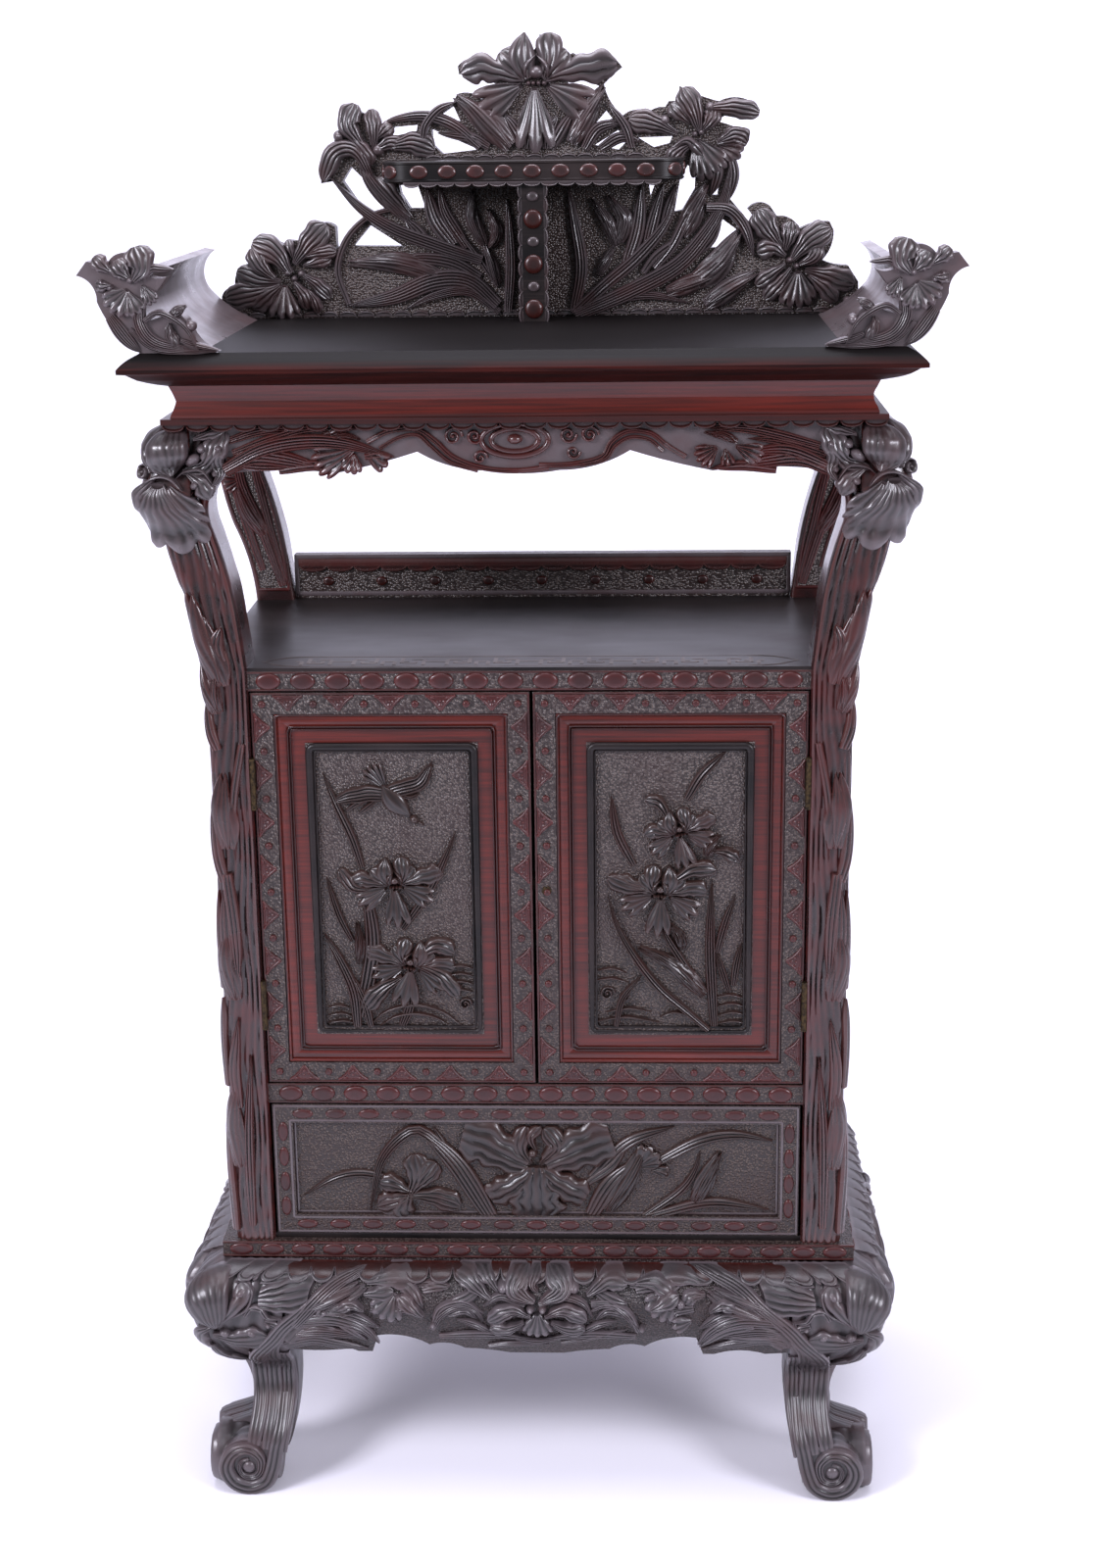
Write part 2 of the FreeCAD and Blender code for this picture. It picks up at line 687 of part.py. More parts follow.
def cornice_board():
    front = case_front - frieze_overhang
    left = cornice_runs(lambda out, z: point(-frieze_half_width - out, 0, z))
    right = [[point(-spot.x, 0, spot.z) for spot in run[::-1]] for run in left[::-1]]
    along_y = prism(list(left) + right, point(0, 1, 0) * (case_back - front + cornice_overhang))
    along_y.translate(point(0, front - cornice_overhang, 0))
    side = -frieze_half_width - cornice_overhang
    hollow, nose, rounded = cornice_runs(lambda out, z: point(side, front - out, z))
    rear_top = point(side, case_back, cornice_top)
    rear_foot = point(side, case_back, cornice_under)
    along_x = prism([hollow, nose, rounded, [rear_top, rear_foot]], point(-side * 2, 0, 0))
    pocket = block(-frieze_half_width + cornice_seat_width, frieze_half_width - cornice_seat_width,
                   front + cornice_seat_width, case_back - cornice_seat_width,
                   cornice_under - cut_overrun, cornice_top - cornice_board_thickness)
    board = along_y.common(along_x).cut(pocket)
    bracket = bracket_between(cornice_top - housing_depth, cornice_top)
    for housing in flange_housing(), mirrored(flange_housing()), crest_housing(), bracket:
        board = board.cut(housing)
    return board


def flange_foot():
    """How far out the flange stands, and where its front end is: at the edge of the cornice's flat top."""
    edge = cornice_overhang * cornice_round_shares[-1][0]
    return frieze_half_width + edge, case_front - frieze_overhang - edge


def flange_housing():
    """The shallow housing that the left flange stands in."""
    foot, start = flange_foot()
    low = cornice_top - housing_depth
    board = block(-foot, flange_foot_width - foot, start, start + flange_length, low, cornice_top)
    end = block(-foot, flange_end_inset - foot, start, start + flange_end_thickness, low, cornice_top)
    return fused([board, end])


def flange_left():
    """An upturned flange: a hollowed board, with the outline of the carved iris at its front end."""
    foot, start = flange_foot()

    def place(inwards, up):
        return point(-foot + inwards, start, cornice_top + flange_height * up)
    hollow = [place(flange_foot_width * inwards, up) for inwards, up in flange_hollow_shares]
    swell = [place(-flange_bulge * out, up) for out, up in flange_swell_shares]
    board = prism([hollow, swell], point(0, 1, 0) * flange_length)
    width = flange_end_inset + flange_end_reach
    carved = [[point(flange_end_inset - foot - width * out, start, cornice_top + flange_end_height * up)
               for out, up in run] for run in flange_end_shares]
    end = prism(carved, point(0, 1, 0) * flange_end_thickness)
    return fused([board, end, flange_housing()])


def make_cornice():
    export("upper_apron", upper_apron())
    make_frieze()
    export("cornice", cornice_board())
    export_pair("flange", flange_left())


# Crest

def crest_spot(pixel):
    """A place on the crest's front face from a place in the photograph, which looks down on it."""
    across, down = pixel
    rise = (crest_pixel_floor - down) / crest_pixel_height
    x = crest_half_width * (across - crest_pixel_middle) / crest_pixel_half_width
    x = x * (1 - crest_taper_share * rise)
    return point(x, case_front + crest_setback, cornice_top + crest_height * rise)


def crest_housing():
    left = crest_spot(crest_silhouette_pixels[0][0])
    right = crest_spot(crest_silhouette_pixels[-1][-1])
    return block(left.x, right.x, left.y, left.y + crest_thickness, cornice_top - housing_depth, cornice_top)


def bracket_between(low, high):
    """The bracket's broad front and the web behind it, between two heights."""
    front = case_front + crest_setback - crest_shelf_depth + bracket_setback
    rear = case_front + crest_setback
    face_rear = front + bracket_face_depth
    face = block(-bracket_half_width, bracket_half_width, front, face_rear, low, high)
    return face.fuse(block(-bracket_web_half_width, bracket_web_half_width, face_rear, rear, low, high))


def crest_board():
    board = prism([[crest_spot(pixel) for pixel in run] for run in crest_silhouette_pixels],
                  point(0, crest_thickness, 0))
    for pixels in crest_piercing_pixels:
        corners = [crest_spot(pixel) for pixel in pixels]
        sides = [[start, end] for start, end in zip(corners, corners[1:] + corners[:1])]
        hole = prism(sides, point(0, crest_thickness + 2 * cut_overrun, 0))
        hole.translate(point(0, -cut_overrun, 0))
        board = board.cut(hole)
    return fused([board, crest_housing()])


def crest_shelf():
    front = case_front + crest_setback - crest_shelf_depth
    rear = case_front + crest_setback
    low = cornice_top + crest_shelf_rise
    shelf = block(-crest_shelf_half_length, crest_shelf_half_length, front, rear,
                  low, low + crest_shelf_thickness)
    front_corners = [edge for edge in shelf.Edges
                     if abs(edge.CenterOfMass.y - front) < loose_fit
                     and edge.Length < crest_shelf_half_length / 2]
    return shelf.makeFillet(crest_shelf_corner, front_corners)


def make_crest():
    export("crest_board", crest_board())
    export("crest_shelf", crest_shelf())
    bracket = bracket_between(cornice_top - housing_depth, cornice_top + crest_shelf_rise)
    export("crest_bracket", bracket.removeSplitter())


# Doors

def door_recess(z, edge):
    """Room in a door's edge for one hinge leaf."""
    return block(edge, edge + hinge_leaf_thickness, case_front - cut_overrun, case_front + hinge_leaf_width,
                 z - hinge_length / 2, z + hinge_length / 2)


def moulding_section(place):
    """Reeds stepping down to a plain sunk field; place takes the way in from the border and the setback."""
    step = (moulding_field_setback - moulding_setback) / (len(moulding_reed_shares) + 1)
    runs = []
    for count, (start, end) in enumerate(moulding_reed_shares):
        near = moulding_reeds_width * start
        far = moulding_reeds_width * end
        depth = moulding_setback + step * count
        runs.append([place(near, depth + step), place((near + far) / 2, depth), place(far, depth + step)])
    field_end = place(door_moulding_width, moulding_field_setback)
    rear_end = place(door_moulding_width, rail_depth - moulding_back_setback)
    rear_start = place(0, rail_depth - moulding_back_setback)
    field_start = place(moulding_reeds_width, moulding_field_setback)
    runs.append([runs[-1][-1], field_start])
    runs.append([field_start, field_end])
    runs.append([rear_end, rear_start])
    return runs


def door_moulding(x0, x1, z0, z1):
    """Four moulded sides mitred at the corners, joined into one frame."""
    upright = prism(moulding_section(lambda inwards, depth: point(x0 + inwards, case_front + depth, z0)),
                    point(0, 0, z1 - z0))
    far_upright = prism(moulding_section(lambda inwards, depth: point(x1 - inwards, case_front + depth, z0)),
                        point(0, 0, z1 - z0))
    low = prism(moulding_section(lambda inwards, depth: point(x0, case_front + depth, z0 + inwards)),
                point(x1 - x0, 0, 0))
    high = prism(moulding_section(lambda inwards, depth: point(x0, case_front + depth, z1 - inwards)),
                 point(x1 - x0, 0, 0))
    width = door_moulding_width
    depth = point(0, rail_depth * 2, 0)
    y = case_front - rail_depth / 2
    corners = [point(x0, y, z0), point(x1, y, z0), point(x1, y, z1), point(x0, y, z1)]
    inner = [point(x0 + width, y, z0 + width), point(x1 - width, y, z0 + width),
             point(x1 - width, y, z1 - width), point(x0 + width, y, z1 - width)]
    mitred = []
    for side, (near, far) in zip((low, far_upright, high, upright), ((0, 1), (1, 2), (2, 3), (3, 0))):
        quad = [corners[near], corners[far], inner[far], inner[near]]
        sides = [[start, end] for start, end in zip(quad, quad[1:] + quad[:1])]
        mitred.append(side.common(prism(sides, depth)))
    return fused(mitred)


def door_panel(x0, x1, z0, z1):
    """A tray-shaped panel: a raised lip with rounded corners round a sunk field."""
    front = case_front + door_panel_setback
    field = block(x0, x1, front, front + door_panel_thickness, z0, z1)
    lip = block(x0, x1, front - door_panel_lip_rise, front, z0, z1)
    inner = block(x0 + door_panel_lip, x1 - door_panel_lip, front - door_panel_lip_rise - cut_overrun, front,
                  z0 + door_panel_lip, z1 - door_panel_lip)
    upright = [edge for edge in inner.Edges if edge.Length < door_panel_lip_rise + 2 * cut_overrun]
    return fused([field, lip.cut(inner.makeFillet(door_panel_corner, upright))])


def keyhole_cut():
    start = point(keyhole_x, case_front - cut_overrun, keyhole_z)
    bar = cylinder(keyhole_radius, rail_depth * 2, start, point(0, 1, 0))
    slot = block(keyhole_x - keyhole_slot_width / 2, keyhole_x + keyhole_slot_width / 2,
                 case_front - cut_overrun, case_front + rail_depth * 2 - cut_overrun,
                 keyhole_z - keyhole_slot_length, keyhole_z)
    return bar.fuse(slot)


def make_door(side, x0, x1):
    """One door between x0 and x1, hung on its outer edge."""
    left = side == "left"
    stile_a = block(x0, x0 + door_border, case_front, rail_rear, door_low, door_high)
    stile_b = block(x1 - door_border, x1, case_front, rail_rear, door_low, door_high)
    for z in hinge_heights():
        if left:
            stile_a = stile_a.cut(door_recess(z, x0))
        else:
            stile_b = stile_b.cut(door_recess(z, x1 - hinge_leaf_thickness))
    if not left:
        stile_a = stile_a.cut(keyhole_cut())
    export("door_" + side + "_stiles", Part.makeCompound([stile_a, stile_b]))
    rail_low = block(x0 + door_border, x1 - door_border, case_front, rail_rear,
                     door_low, door_low + door_border)
    rail_high = block(x0 + door_border, x1 - door_border, case_front, rail_rear,
                      door_high - door_border, door_high)
    export("door_" + side + "_rails", Part.makeCompound([rail_low, rail_high]))
    inner = (x0 + door_border, x1 - door_border, door_low + door_border, door_high - door_border)
    export("door_" + side + "_moulding", door_moulding(*inner))
    width = door_moulding_width
    export("door_" + side + "_panel",
           door_panel(inner[0] + width, inner[1] - width, inner[2] + width, inner[3] - width))


def knuckle_span(z, fixed):
    """The half of a hinge's barrel that belongs to one leaf: the door's knuckle stands on the case's."""
    reach = hinge_length / 2
    gap = knuckle_gap / 2
    return (z - reach, z - gap) if fixed else (z + gap, z + reach)


def knuckle(span):
    start, end = span
    return cylinder(knuckle_radius, end - start, point(-pin_x, pin_y, start), point(0, 0, 1))


def knuckle_notch(span):
    """The square notch in a leaf where the other leaf's knuckle turns."""
    start, end = span
    room = knuckle_radius + knuckle_clearance
    return block(-pin_x - room, -pin_x + room, pin_y - room, pin_y + room,
                 start - knuckle_gap, end + knuckle_gap)


def hinge_leaf(z, fixed):
    """One leaf of a hinge on the left side, with its knuckle and the bore for the pin."""
    face = -inner_half_width - hinge_leaf_thickness if fixed else -door_edge
    plate = block(face, face + hinge_leaf_thickness, pin_y, case_front + hinge_leaf_width,
                  z - hinge_length / 2, z + hinge_length / 2)
    if fixed:
        bridge = block(face, -pin_x, pin_y, pin_y + hinge_leaf_thickness,
                       z - hinge_length / 2, z + hinge_length / 2)
    else:
        bridge = block(-pin_x, face + hinge_leaf_thickness, pin_y, pin_y + hinge_leaf_thickness,
                       z - hinge_length / 2, z + hinge_length / 2)
    notched = plate.fuse(bridge).cut(knuckle_notch(knuckle_span(z, not fixed)))
    leaf = notched.fuse(knuckle(knuckle_span(z, fixed)))
    bore = cylinder(hinge_pin_radius + hinge_pin_fit, hinge_length + 2 * cut_overrun,
                    point(-pin_x, pin_y, z - hinge_length / 2 - cut_overrun), point(0, 0, 1))
    return leaf.cut(bore).removeSplitter()


def hinge_pin(z):
    """A pin that ends flush with the barrel."""
    return cylinder(hinge_pin_radius, hinge_length, point(-pin_x, pin_y, z - hinge_length / 2),
                    point(0, 0, 1))


def make_hinges():
    fixed = [hinge_leaf(z, True) for z in hinge_heights()]
    moving = [hinge_leaf(z, False) for z in hinge_heights()]
    pins = [hinge_pin(z) for z in hinge_heights()]
    export("hinge_leaves_case", Part.makeCompound(fixed + [mirrored(leaf) for leaf in fixed]))
    export("hinge_leaves_door_left", Part.makeCompound(moving))
    export("hinge_leaves_door_right", Part.makeCompound([mirrored(leaf) for leaf in moving]))
    export("hinge_pins", Part.makeCompound(pins + [mirrored(pin) for pin in pins]))


def make_lock():
    front = rail_rear
    rear = front + lock_thickness
    low = keyhole_z - lock_height / 2
    case = block(meeting_right, meeting_right + lock_width, front, rear, low, low + lock_height)
    channel = block(meeting_right - cut_overrun, meeting_right + bolt_length + 2 * lock_wall,
                    front + lock_wall, rear - lock_wall,
                    keyhole_z - bolt_height / 2, keyhole_z + bolt_height / 2)
    key_slot = block(keyhole_x - keyhole_radius, keyhole_x + keyhole_radius,
                     front - cut_overrun, rear + cut_overrun,
                     keyhole_z - keyhole_slot_length, keyhole_z + keyhole_radius)
    export("lock_case", case.cut(channel).cut(key_slot))
    bolt = block(meeting_right, meeting_right + bolt_length,
                 front + lock_wall + bolt_fit, rear - lock_wall - bolt_fit,
                 keyhole_z - bolt_height / 2 + bolt_fit, keyhole_z + bolt_height / 2 - bolt_fit)
    talon = block(keyhole_x - keyhole_radius, keyhole_x + keyhole_radius, front, rear,
                  keyhole_z - bolt_height / 2, keyhole_z - bolt_height / 4)
    export("lock_bolt", bolt.cut(talon))
    plate = cylinder(keyhole_plate_radius, keyhole_plate_thickness,
                     point(keyhole_x, case_front, keyhole_z), point(0, -1, 0))
    export("keyhole_plate", plate.cut(keyhole_cut()))


def make_doors():
    make_door("left", -door_edge, meeting_left)
    make_door("right", meeting_right, door_edge)
    make_hinges()
    make_lock()


# Drawer

def make_drawer():
    half = inner_half_width - drawer_side_gap
    low = case_floor + drawer_bottom_gap
    high = drawer_top - drawer_top_gap
    front_rear = case_front + drawer_front_thickness
    length_end = back_panel_front - drawer_back_gap
    front = block(-half, half, case_front, front_rear, low, high)
    field = block(-half + drawer_frame_width, half - drawer_frame_width, case_front - cut_overrun,
                  case_front + drawer_field_setback, low + drawer_frame_width, high - drawer_frame_width)
    export("drawer_front", front.cut(field))
    side_high = low + drawer_side_height
    side = block(-half, -half + drawer_side_thickness, front_rear, length_end, low, side_high)
    export_pair("drawer_side", side)
    inner = half - drawer_side_thickness
    bottom_low = low + drawer_bottom_rise
    export("drawer_back", block(-inner, inner, length_end - drawer_side_thickness, length_end,
                                low, side_high))
    export("drawer_bottom", block(-inner, inner, front_rear, length_end - drawer_side_thickness,
                                  bottom_low, bottom_low + drawer_bottom_thickness))


os.makedirs("parts", exist_ok=True)
make_stand()
make_case()
make_cornice()
make_crest()
make_doors()
make_drawer()
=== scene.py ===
import math

import bpy
import numpy as np
from mathutils import Matrix, Vector


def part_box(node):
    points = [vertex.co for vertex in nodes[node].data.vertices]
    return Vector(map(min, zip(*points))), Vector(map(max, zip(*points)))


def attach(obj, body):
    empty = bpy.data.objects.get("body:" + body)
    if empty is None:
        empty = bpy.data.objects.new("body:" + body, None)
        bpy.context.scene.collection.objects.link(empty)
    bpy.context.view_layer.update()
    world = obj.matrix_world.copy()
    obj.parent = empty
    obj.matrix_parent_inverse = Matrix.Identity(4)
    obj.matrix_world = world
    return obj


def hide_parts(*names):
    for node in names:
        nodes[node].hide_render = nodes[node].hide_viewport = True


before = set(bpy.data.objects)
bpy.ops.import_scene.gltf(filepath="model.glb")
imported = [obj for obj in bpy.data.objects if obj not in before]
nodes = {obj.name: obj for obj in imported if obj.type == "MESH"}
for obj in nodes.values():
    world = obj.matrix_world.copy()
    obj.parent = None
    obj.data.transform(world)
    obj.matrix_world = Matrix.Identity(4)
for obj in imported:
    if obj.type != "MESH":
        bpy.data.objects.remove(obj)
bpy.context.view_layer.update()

millimetre = 0.001

# The photograph's camera, solved from the case's corners. Metres, degrees and the photograph's own pixels.
photo = {
    "width": 1115, "height": 1600, "focalLength": 2367.8,
    "place": (0.1422, -2.9425, 1.7949), "yaw": -2.523, "pitch": -16.404, "roll": -0.804,
    "sensorWidth": 36.0, "nearest": 0.05, "farthest": 50.0,
}


def cameraAxes():
    yaw, pitch, roll = (math.radians(photo[key]) for key in ("yaw", "pitch", "roll"))
    forward = np.array([math.sin(yaw) * math.cos(pitch), math.cos(yaw) * math.cos(pitch), math.sin(pitch)])
    level = np.array([math.cos(yaw), -math.sin(yaw), 0.0])
    upright = np.cross(level, forward)
    right = math.cos(roll) * level + math.sin(roll) * upright
    up = -math.sin(roll) * level + math.cos(roll) * upright
    return right, up, forward


def addCamera():
    right, up, forward = cameraAxes()
    data = bpy.data.cameras.new("Camera")
    data.sensor_fit = "AUTO"
    data.sensor_width = photo["sensorWidth"]
    data.lens = data.sensor_width * photo["focalLength"] / photo["height"]
    data.clip_start, data.clip_end = photo["nearest"], photo["farthest"]
    camera = bpy.data.objects.new("Camera", data)
    turn = Matrix([[right[row], up[row], -forward[row]] for row in range(3)])
    camera.matrix_world = Matrix.Translation(photo["place"]) @ turn.to_4x4()
    bpy.context.scene.collection.objects.link(camera)
    bpy.context.scene.camera = camera


# Millimetre places (across, height) on the upright plane y = depth that show at the photograph's pixels
def onPlane(pixels, depth):
    right, up, forward = cameraAxes()
    pixels = np.atleast_2d(np.array(pixels, float))
    rays = (forward * photo["focalLength"] + np.outer(pixels[:, 0] - photo["width"] / 2, right)
            - np.outer(pixels[:, 1] - photo["height"] / 2, up))
    start = np.array(photo["place"]) / millimetre
    reach = (depth - start[1]) / rays[:, 1]
    places = start + rays * reach[:, None]
    return places[:, [0, 2]]


def boxOf(node):
    low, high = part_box(node)
    return np.array(low) / millimetre, np.array(high) / millimetre


# Linear colour from an sRGB hex code
def colour(code):
    channels = [int(code[start:start + 2], 16) / 255 for start in (0, 2, 4)]
    return [c / 12.92 if c <= 0.04045 else ((c + 0.055) / 1.055) ** 2.4 for c in channels] + [1.0]


def addNode(tree, kind, inputs=None, **settings):
    node = tree.nodes.new(kind)
    for key, value in settings.items():
        setattr(node, key, value)
    for key, value in (inputs or {}).items():
        if isinstance(value, bpy.types.NodeSocket):
            tree.links.new(value, node.inputs[key])
        else:
            node.inputs[key].default_value = value
    return node


def newMaterial(name):
    material = bpy.data.materials.new(name)
    material.use_nodes = True
    tree = material.node_tree
    tree.nodes.clear()
    output = addNode(tree, "ShaderNodeOutputMaterial")
    shader = addNode(tree, "ShaderNodeBsdfPrincipled")
    tree.links.new(shader.outputs["BSDF"], output.inputs["Surface"])
    return material, tree, shader


# Object coordinates in metres times scale, one number or three
def objectSpace(tree, scale):
    coordinates = addNode(tree, "ShaderNodeTexCoord")
    scale = (scale,) * 3 if isinstance(scale, (int, float)) else scale
    mapping = addNode(tree, "ShaderNodeMapping", {"Vector": coordinates.outputs["Object"], "Scale": scale})
    return mapping.outputs["Vector"]


def noise(tree, scale, detail=3.0, roughness=0.5):
    return addNode(tree, "ShaderNodeTexNoise", {"Vector": objectSpace(tree, scale), "Scale": 1.0, "Detail": detail,
                                                "Roughness": roughness}).outputs["Fac"]


def ramp(tree, value, stops):
    node = addNode(tree, "ShaderNodeValToRGB", {"Fac": value})
    elements = node.color_ramp.elements
    while len(elements) < len(stops):
        elements.new(0.5)
    for element, (place, code) in zip(elements, stops):
        element.position = place
        element.color = colour(code)
    return node.outputs["Color"]


def mixColours(tree, factor, first, second):
    node = addNode(tree, "ShaderNodeMix", data_type="RGBA")
    for key, value in (("Factor", factor), ("A", first), ("B", second)):
        socket = next(s for s in node.inputs if s.name == key and (key == "Factor" or s.type == "RGBA"))
        if isinstance(value, bpy.types.NodeSocket):
            tree.links.new(value, socket)
        else:
            socket.default_value = value
    return next(s for s in node.outputs if s.type == "RGBA")


def spread(tree, value, low, high, newLow, newHigh):
    return addNode(tree, "ShaderNodeMapRange", {"Value": value, "From Min": low, "From Max": high,
                                                "To Min": newLow, "To Max": newHigh}).outputs["Result"]


def bump(tree, height, distance, strength=1.0):
    return addNode(tree, "ShaderNodeBump", {"Height": height, "Distance": distance,
                                            "Strength": strength}).outputs["Normal"]


def setShader(shader, **values):
    names = {"colour": "Base Color", "roughness": "Roughness", "metallic": "Metallic", "normal": "Normal",
             "coat": "Coat Weight", "coatRoughness": "Coat Roughness", "specular": "Specular IOR Level"}
    tree = shader.id_data
    for key, value in values.items():
        socket = shader.inputs[names[key]]
        if isinstance(value, bpy.types.NodeSocket):
            tree.links.new(value, socket)
        else:
            socket.default_value = value


# Tones of each carved finish: the hollows, polish left there with painted shade; the wood itself; the raised parts,
# what handling rubbed bare with a painted highlight
carvedFinishes = {
    "CarvedWood": {"hollowPolishAndShade": "050404", "body": "241d1d", "raisedWearAndSheen": "4d4446", "worn": "3a1815", "wornShare": 0.4,
                   "coat": 0.18, "specular": 0.6, "roughness": (0.25, 0.4)},
    "CarvedLegWood": {"hollowPolishAndShade": "080606", "body": "2a2627", "raisedWearAndSheen": "564e51", "worn": "3c1d1a", "wornShare": 0.4,
                      "coat": 0.1, "specular": 0.55, "roughness": (0.28, 0.42)},
    "CarvedPostWood": {"hollowPolishAndShade": "050303", "body": "1f0d0d", "raisedWearAndSheen": "452522", "worn": "40110e", "wornShare": 0.75,
                       "coat": 0.25, "specular": 0.55, "roughness": (0.22, 0.34)},
    "CarvedPanelWood": {"hollowPolishAndShade": "040303", "body": "170e0c", "raisedWearAndSheen": "33231f", "worn": "31120e", "wornShare": 0.5,
                        "coat": 0.2, "specular": 0.5, "roughness": (0.28, 0.42)},
    "CarvedRedWood": {"hollowPolishAndShade": "0c0303", "body": "2d0d0c", "raisedWearAndSheen": "471917", "worn": "210a09", "wornShare": 0.6,
                      "coat": 0.15, "specular": 0.4, "roughness": (0.3, 0.42)},
    "DarkRedWood": {"hollowPolishAndShade": "080303", "body": "1d0a08", "raisedWearAndSheen": "38130f", "worn": "110908", "wornShare": 0.5,
                    "coat": 0.25, "specular": 0.4, "roughness": (0.26, 0.4)},
    "FretWood": {"hollowPolishAndShade": "0b0908", "body": "3a3331", "raisedWearAndSheen": "574d49", "worn": "171312", "wornShare": 0.5,
                 "coat": 0.0, "specular": 0.25, "roughness": (0.4, 0.5)},
}
carvedSettings = {"edges": (0.44, 0.5, 0.56), "patchSize": 0.045, "patchReach": (0.48, 0.66), "toolSize": 0.0035,
                  "toolDepth": 0.00022, "toolStrength": 0.5, "coatRoughness": 0.18}


# Dark carved hardwood under black polish: red-brown where it stands out, near black in the cuts, with painted shade in
# the cuts and a painted highlight on what stands out
def carvedWood(name):
    tones, settings = carvedFinishes[name], carvedSettings
    material, tree, shader = newMaterial(name)
    # By pointiness: painted shade in the cuts and a painted highlight on the edges, partly real polish and wear
    edge = addNode(tree, "ShaderNodeNewGeometry").outputs["Pointiness"]
    paintedShadeAndRub = ramp(tree, edge, list(zip(settings["edges"], (tones[key] for key in ("hollowPolishAndShade", "body", "raisedWearAndSheen")))))
    patches = noise(tree, 1 / settings["patchSize"], 4.0)
    tint = mixColours(tree, spread(tree, patches, *settings["patchReach"], 0.0, tones["wornShare"]), paintedShadeAndRub,
                      colour(tones["worn"]))
    strokes = noise(tree, 1 / settings["toolSize"], 2.0)
    setShader(shader, colour=tint, roughness=spread(tree, patches, 0.3, 0.7, *tones["roughness"]),
              normal=bump(tree, strokes, settings["toolDepth"], settings["toolStrength"]), coat=tones["coat"],
              specular=tones["specular"], coatRoughness=settings["coatRoughness"])
    return material


lacquerSettings = {
    "dark": "260a06", "light": "5c180e", "grainLength": 0.12, "grainWidth": 0.003, "grainShare": 0.6,
    "cloudScale": 4.0, "grainDepth": 0.0001, "footTone": "120808", "footShare": 0.7, "footFade": (0.006, 0.011),
    "surface": {"roughness": 0.32, "specular": 0.42, "coat": 0.14, "coatRoughness": 0.12},
}


def heightInObject(tree):
    coordinates = addNode(tree, "ShaderNodeTexCoord")
    return addNode(tree, "ShaderNodeSeparateXYZ", {"Vector": coordinates.outputs["Object"]}).outputs["Z"]


# Smooth red-brown lacquer over fine straight grain. Given a foot height in metres, it goes black towards that foot.
def redLacquer(name="RedLacquer", upright=True, foot=None):
    settings = lacquerSettings
    material, tree, shader = newMaterial(name)
    across, along = 1 / settings["grainWidth"], 1 / settings["grainLength"]
    grain = noise(tree, (across, across, along) if upright else (along, across, across), 3.0)
    cloud = noise(tree, settings["cloudScale"], 2.0)
    clouded = ramp(tree, cloud, [(0.3, settings["dark"]), (0.7, settings["light"])])
    grained = ramp(tree, grain, [(0.35, settings["dark"]), (0.65, settings["light"])])
    both = mixColours(tree, settings["grainShare"], clouded, grained)
    if foot is not None:
        low, high = (foot + reach for reach in settings["footFade"])
        blackened = spread(tree, heightInObject(tree), low, high, settings["footShare"], 0.0)
        both = mixColours(tree, blackened, both, colour(settings["footTone"]))
    setShader(shader, colour=both, normal=bump(tree, grain, settings["grainDepth"], 0.4), **settings["surface"])
    return material


blackSettings = {"cloudScale": (5.0, 9.0, 9.0), "scratchScale": (12.0, 420.0, 420.0), "dark": "0a0808",
                 "light": "241c1b", "scratch": "3c3230", "scratchShare": 0.3, "roughness": (0.3, 0.44), "specular": 0.3}


# Near-black polished top: wiping has left faint grey-brown clouds
def blackLacquer():
    settings = blackSettings
    material, tree, shader = newMaterial("BlackLacquer")
    clouds = noise(tree, settings["cloudScale"], 3.0, 0.6)
    scratches = noise(tree, settings["scratchScale"], 2.0)
    worn = mixColours(tree, spread(tree, scratches, 0.55, 0.75, 0.0, settings["scratchShare"]),
                      ramp(tree, clouds, [(0.38, settings["dark"]), (0.7, settings["light"])]),
                      colour(settings["scratch"]))
    setShader(shader, colour=worn, roughness=spread(tree, clouds, 0.3, 0.7, *settings["roughness"]),
              specular=settings["specular"])
    return material


# How far below the cornice's top the red starts to darken, and where it is black, in metres
corniceSettings = {"fade": (-0.017, -0.008), "grainScale": (8.0, 300.0, 300.0), "dark": "160807", "light": "330f0b",
                   "top": "0d0a0a", "surface": {"roughness": 0.5, "specular": 0.1}}


# Red-brown lacquer on the nose of the cornice, gone black towards its top
def corniceLacquer():
    settings = corniceSettings
    material, tree, shader = newMaterial("CorniceLacquer")
    low, high = (boxOf("cornice")[1][2] * millimetre + reach for reach in settings["fade"])
    grain = noise(tree, settings["grainScale"], 3.0)
    tint = mixColours(tree, spread(tree, heightInObject(tree), low, high, 0.0, 1.0),
                      ramp(tree, grain, [(0.35, settings["dark"]), (0.7, settings["light"])]), colour(settings["top"]))
    setShader(shader, colour=tint, **settings["surface"])
    return material


groundTones = {
    "StippledGround": {"dot": "5a4d46", "gap": "221a18"},
    "DarkStippledGround": {"dot": "4a403e", "gap": "181212"},
}
stippleSettings = {"pitch": 0.0030, "depth": 0.0011, "randomness": 0.85, "stain": "2b1512", "stainShare": 0.4,
                   "stainScale": 14.0, "back": "1d1413", "roughness": 0.36}
